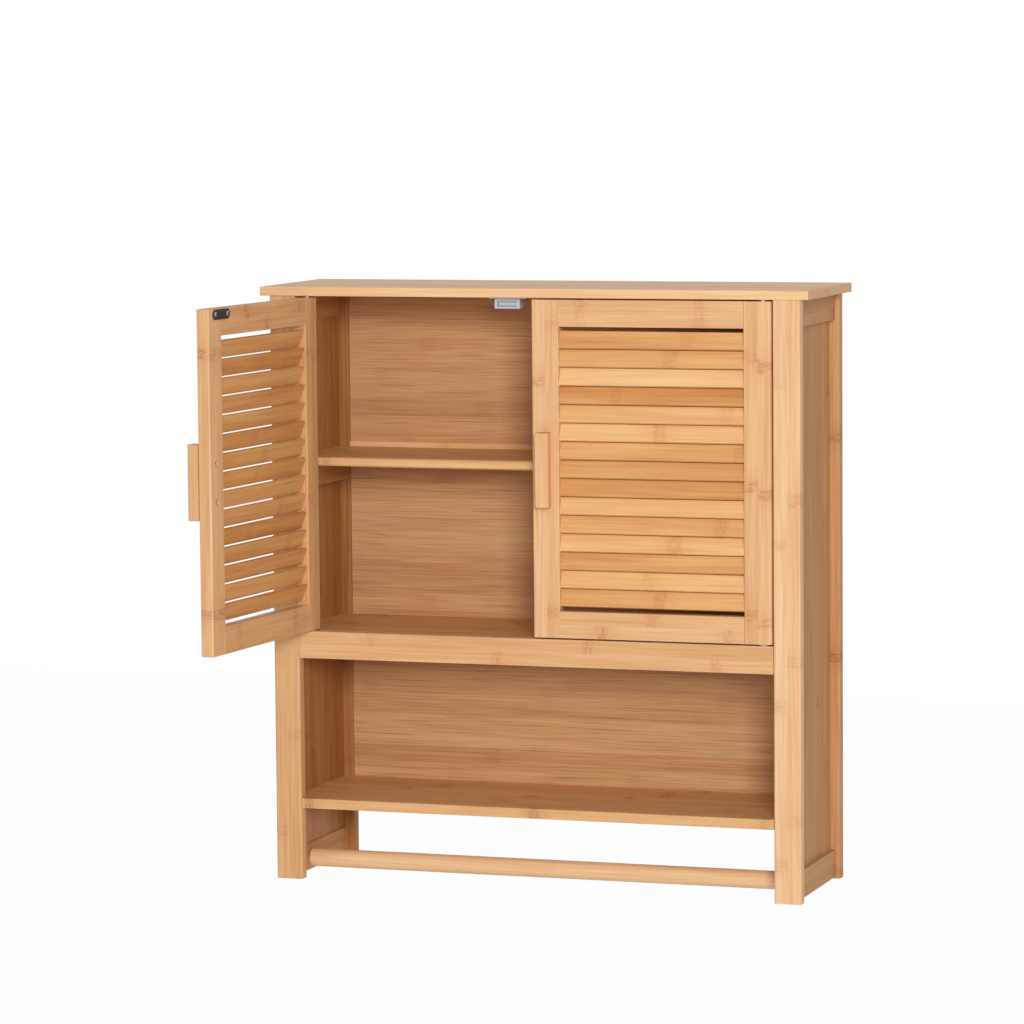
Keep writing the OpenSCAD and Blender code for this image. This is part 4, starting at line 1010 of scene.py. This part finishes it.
def makePivots():
    x, y = doors["pivot"]
    ends = (("Upper", doors["top"], 1, "+Z", "-Z"), ("Lower", doors["bottom"], -1, "-Z", "+Z"))
    shoulder = (pivots["collar"] - pivots["pin"]) / 2
    thick = pivots["collarThick"]
    for name, face, way, outwards, inwards in ends:
        reach = pivots["reach"][name]
        pin = addRod("pin", (x, y, face + way * thick / 2), pivots["collar"], thick, "Z", 40)
        stepFace(pin, lambda f: faces(f, outwards), shoulder, reach)
        roundEdges(pin, pivots["pinEdge"],
                   lambda e: abs(edgeMiddle(e)[2] - (face + way * (thick + reach))) < near, 2)
        stepFace(pin, lambda f: faces(f, inwards), shoulder, pivots["seat"])
        hangPair(pin, "DoorPivotPin" + name, "pivot_pins", "zincPlatedSteel")
    for side, place in (("Left", x), ("Right", -x)):
        for name, face, way, outwards, inwards in ends:
            flange = pivots["bushingFace"][name] - way * pivots["flangeThick"] / 2
            ring = addRod("pivotBushing" + name + side, (place, y, flange), pivots["flange"],
                          pivots["flangeThick"], "Z", 40)
            stepFace(ring, lambda f: faces(f, outwards), (pivots["flange"] - pivots["bushing"]) / 2,
                     pivots["bushingDeep"])
            stepFace(ring, lambda f: faces(f, inwards), (pivots["flange"] - pivots["bore"]) / 2,
                     -pivots["boreDeep"])
            finishPiece(ring, "mouldedPlasticPaintedShade", "cabinet", "pivot_bushings")


makeStrikePlates()
makeHangers()
makeCatches()
makeHandleScrews()
makePivots()

# the dowels inside the joints stay as they are and only get their wood
for name in ("frame_dowels", "left_door_dowels", "right_door_dowels"):
    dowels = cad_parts[name]
    dowels.data.materials.clear()
    dowels.data.materials.append(materials["beechDowel"])
print("fittings made")


# metres and watts
studio = {
    "floorDrop": 0.95, "floorSize": 14, "floorShift": 1,
    "keyPlace": (1.85, -4.55, 0.85), "keyAim": (0, -0.1, -0.26), "keySize": 1.1, "keyPower": 140,
    "ambient": 0.42, "whiteShare": 0.98, "white": (1.0, 1.0, 1.0, 1.0),
}


def seesWhite(tree):
    # 1 for a ray of the camera, or one through gloss or glass: these see plain white all round
    path = addNode(tree, "ShaderNodeLightPath")
    seen = addNode(tree, "ShaderNodeMath", {0: path.outputs["Is Camera Ray"],
                                            1: path.outputs["Is Glossy Ray"]}, operation="MAXIMUM")
    through = addNode(tree, "ShaderNodeMath", {0: seen.outputs[0],
                                               1: path.outputs["Is Transmission Ray"]},
                      operation="MAXIMUM")
    return through.outputs[0]


def layFloor():
    low = cadBox[0][2] - studio["floorDrop"]
    bpy.ops.object.select_all(action="DESELECT")
    bpy.ops.mesh.primitive_plane_add(size=studio["floorSize"],
                                     location=(0, studio["floorShift"], low))
    floor = bpy.context.active_object
    floor.name = "studioFloor"
    settle(floor)
    # matt white sheet: it takes the shadow, and the camera sees it almost as bright as the backdrop
    material, tree = newMaterial("mattWhiteSheet")
    place = addNode(tree, "ShaderNodeTexCoord")
    cloud = addNode(tree, "ShaderNodeTexNoise", {"Vector": place.outputs["Object"], "Scale": 1.5})
    tint = addNode(tree, "ShaderNodeValToRGB", {0: cloud.outputs[0]}, stops=[
        (0.3, linearColour("#f3f3f2")), (0.7, linearColour("#f7f7f6"))])
    matt = addNode(tree, "ShaderNodeBsdfDiffuse", {0: tint.outputs[0]})
    white = addNode(tree, "ShaderNodeEmission", {0: studio["white"], 1: 1.0})
    share = addNode(tree, "ShaderNodeMath", {0: seesWhite(tree), 1: studio["whiteShare"]},
                    operation="MULTIPLY")
    mixed = addNode(tree, "ShaderNodeMixShader", {0: share.outputs[0], 1: matt.outputs[0],
                                                  2: white.outputs[0]})
    addNode(tree, "ShaderNodeOutputMaterial", {0: mixed.outputs[0]})
    floor.data.materials.append(material)


def hangBackdrop():
    world = bpy.data.worlds.new("studio")
    bpy.context.scene.world = world
    world.use_nodes = True
    tree = world.node_tree
    tree.nodes.clear()
    soft = addNode(tree, "ShaderNodeBackground", {0: studio["white"], 1: studio["ambient"]})
    white = addNode(tree, "ShaderNodeBackground", {0: studio["white"], 1: 1.0})
    mixed = addNode(tree, "ShaderNodeMixShader", {0: seesWhite(tree), 1: soft.outputs[0],
                                                  2: white.outputs[0]})
    addNode(tree, "ShaderNodeOutputWorld", {0: mixed.outputs[0]})


def addKeyLight():
    lamp = bpy.data.lights.new("keyLight", "AREA")
    lamp.shape = "SQUARE"
    lamp.size = studio["keySize"]
    lamp.energy = studio["keyPower"]
    holder = bpy.data.objects.new("keyLight", lamp)
    bpy.context.scene.collection.objects.link(holder)
    way = Vector(studio["keyAim"]) - Vector(studio["keyPlace"])
    turn = way.to_track_quat("-Z", "Y").to_matrix().to_4x4()
    holder.matrix_world = Matrix.Translation(studio["keyPlace"]) @ turn


layFloor()
hangBackdrop()
addKeyLight()
bpy.context.scene.view_settings.view_transform = "Standard"
print("studio lit")
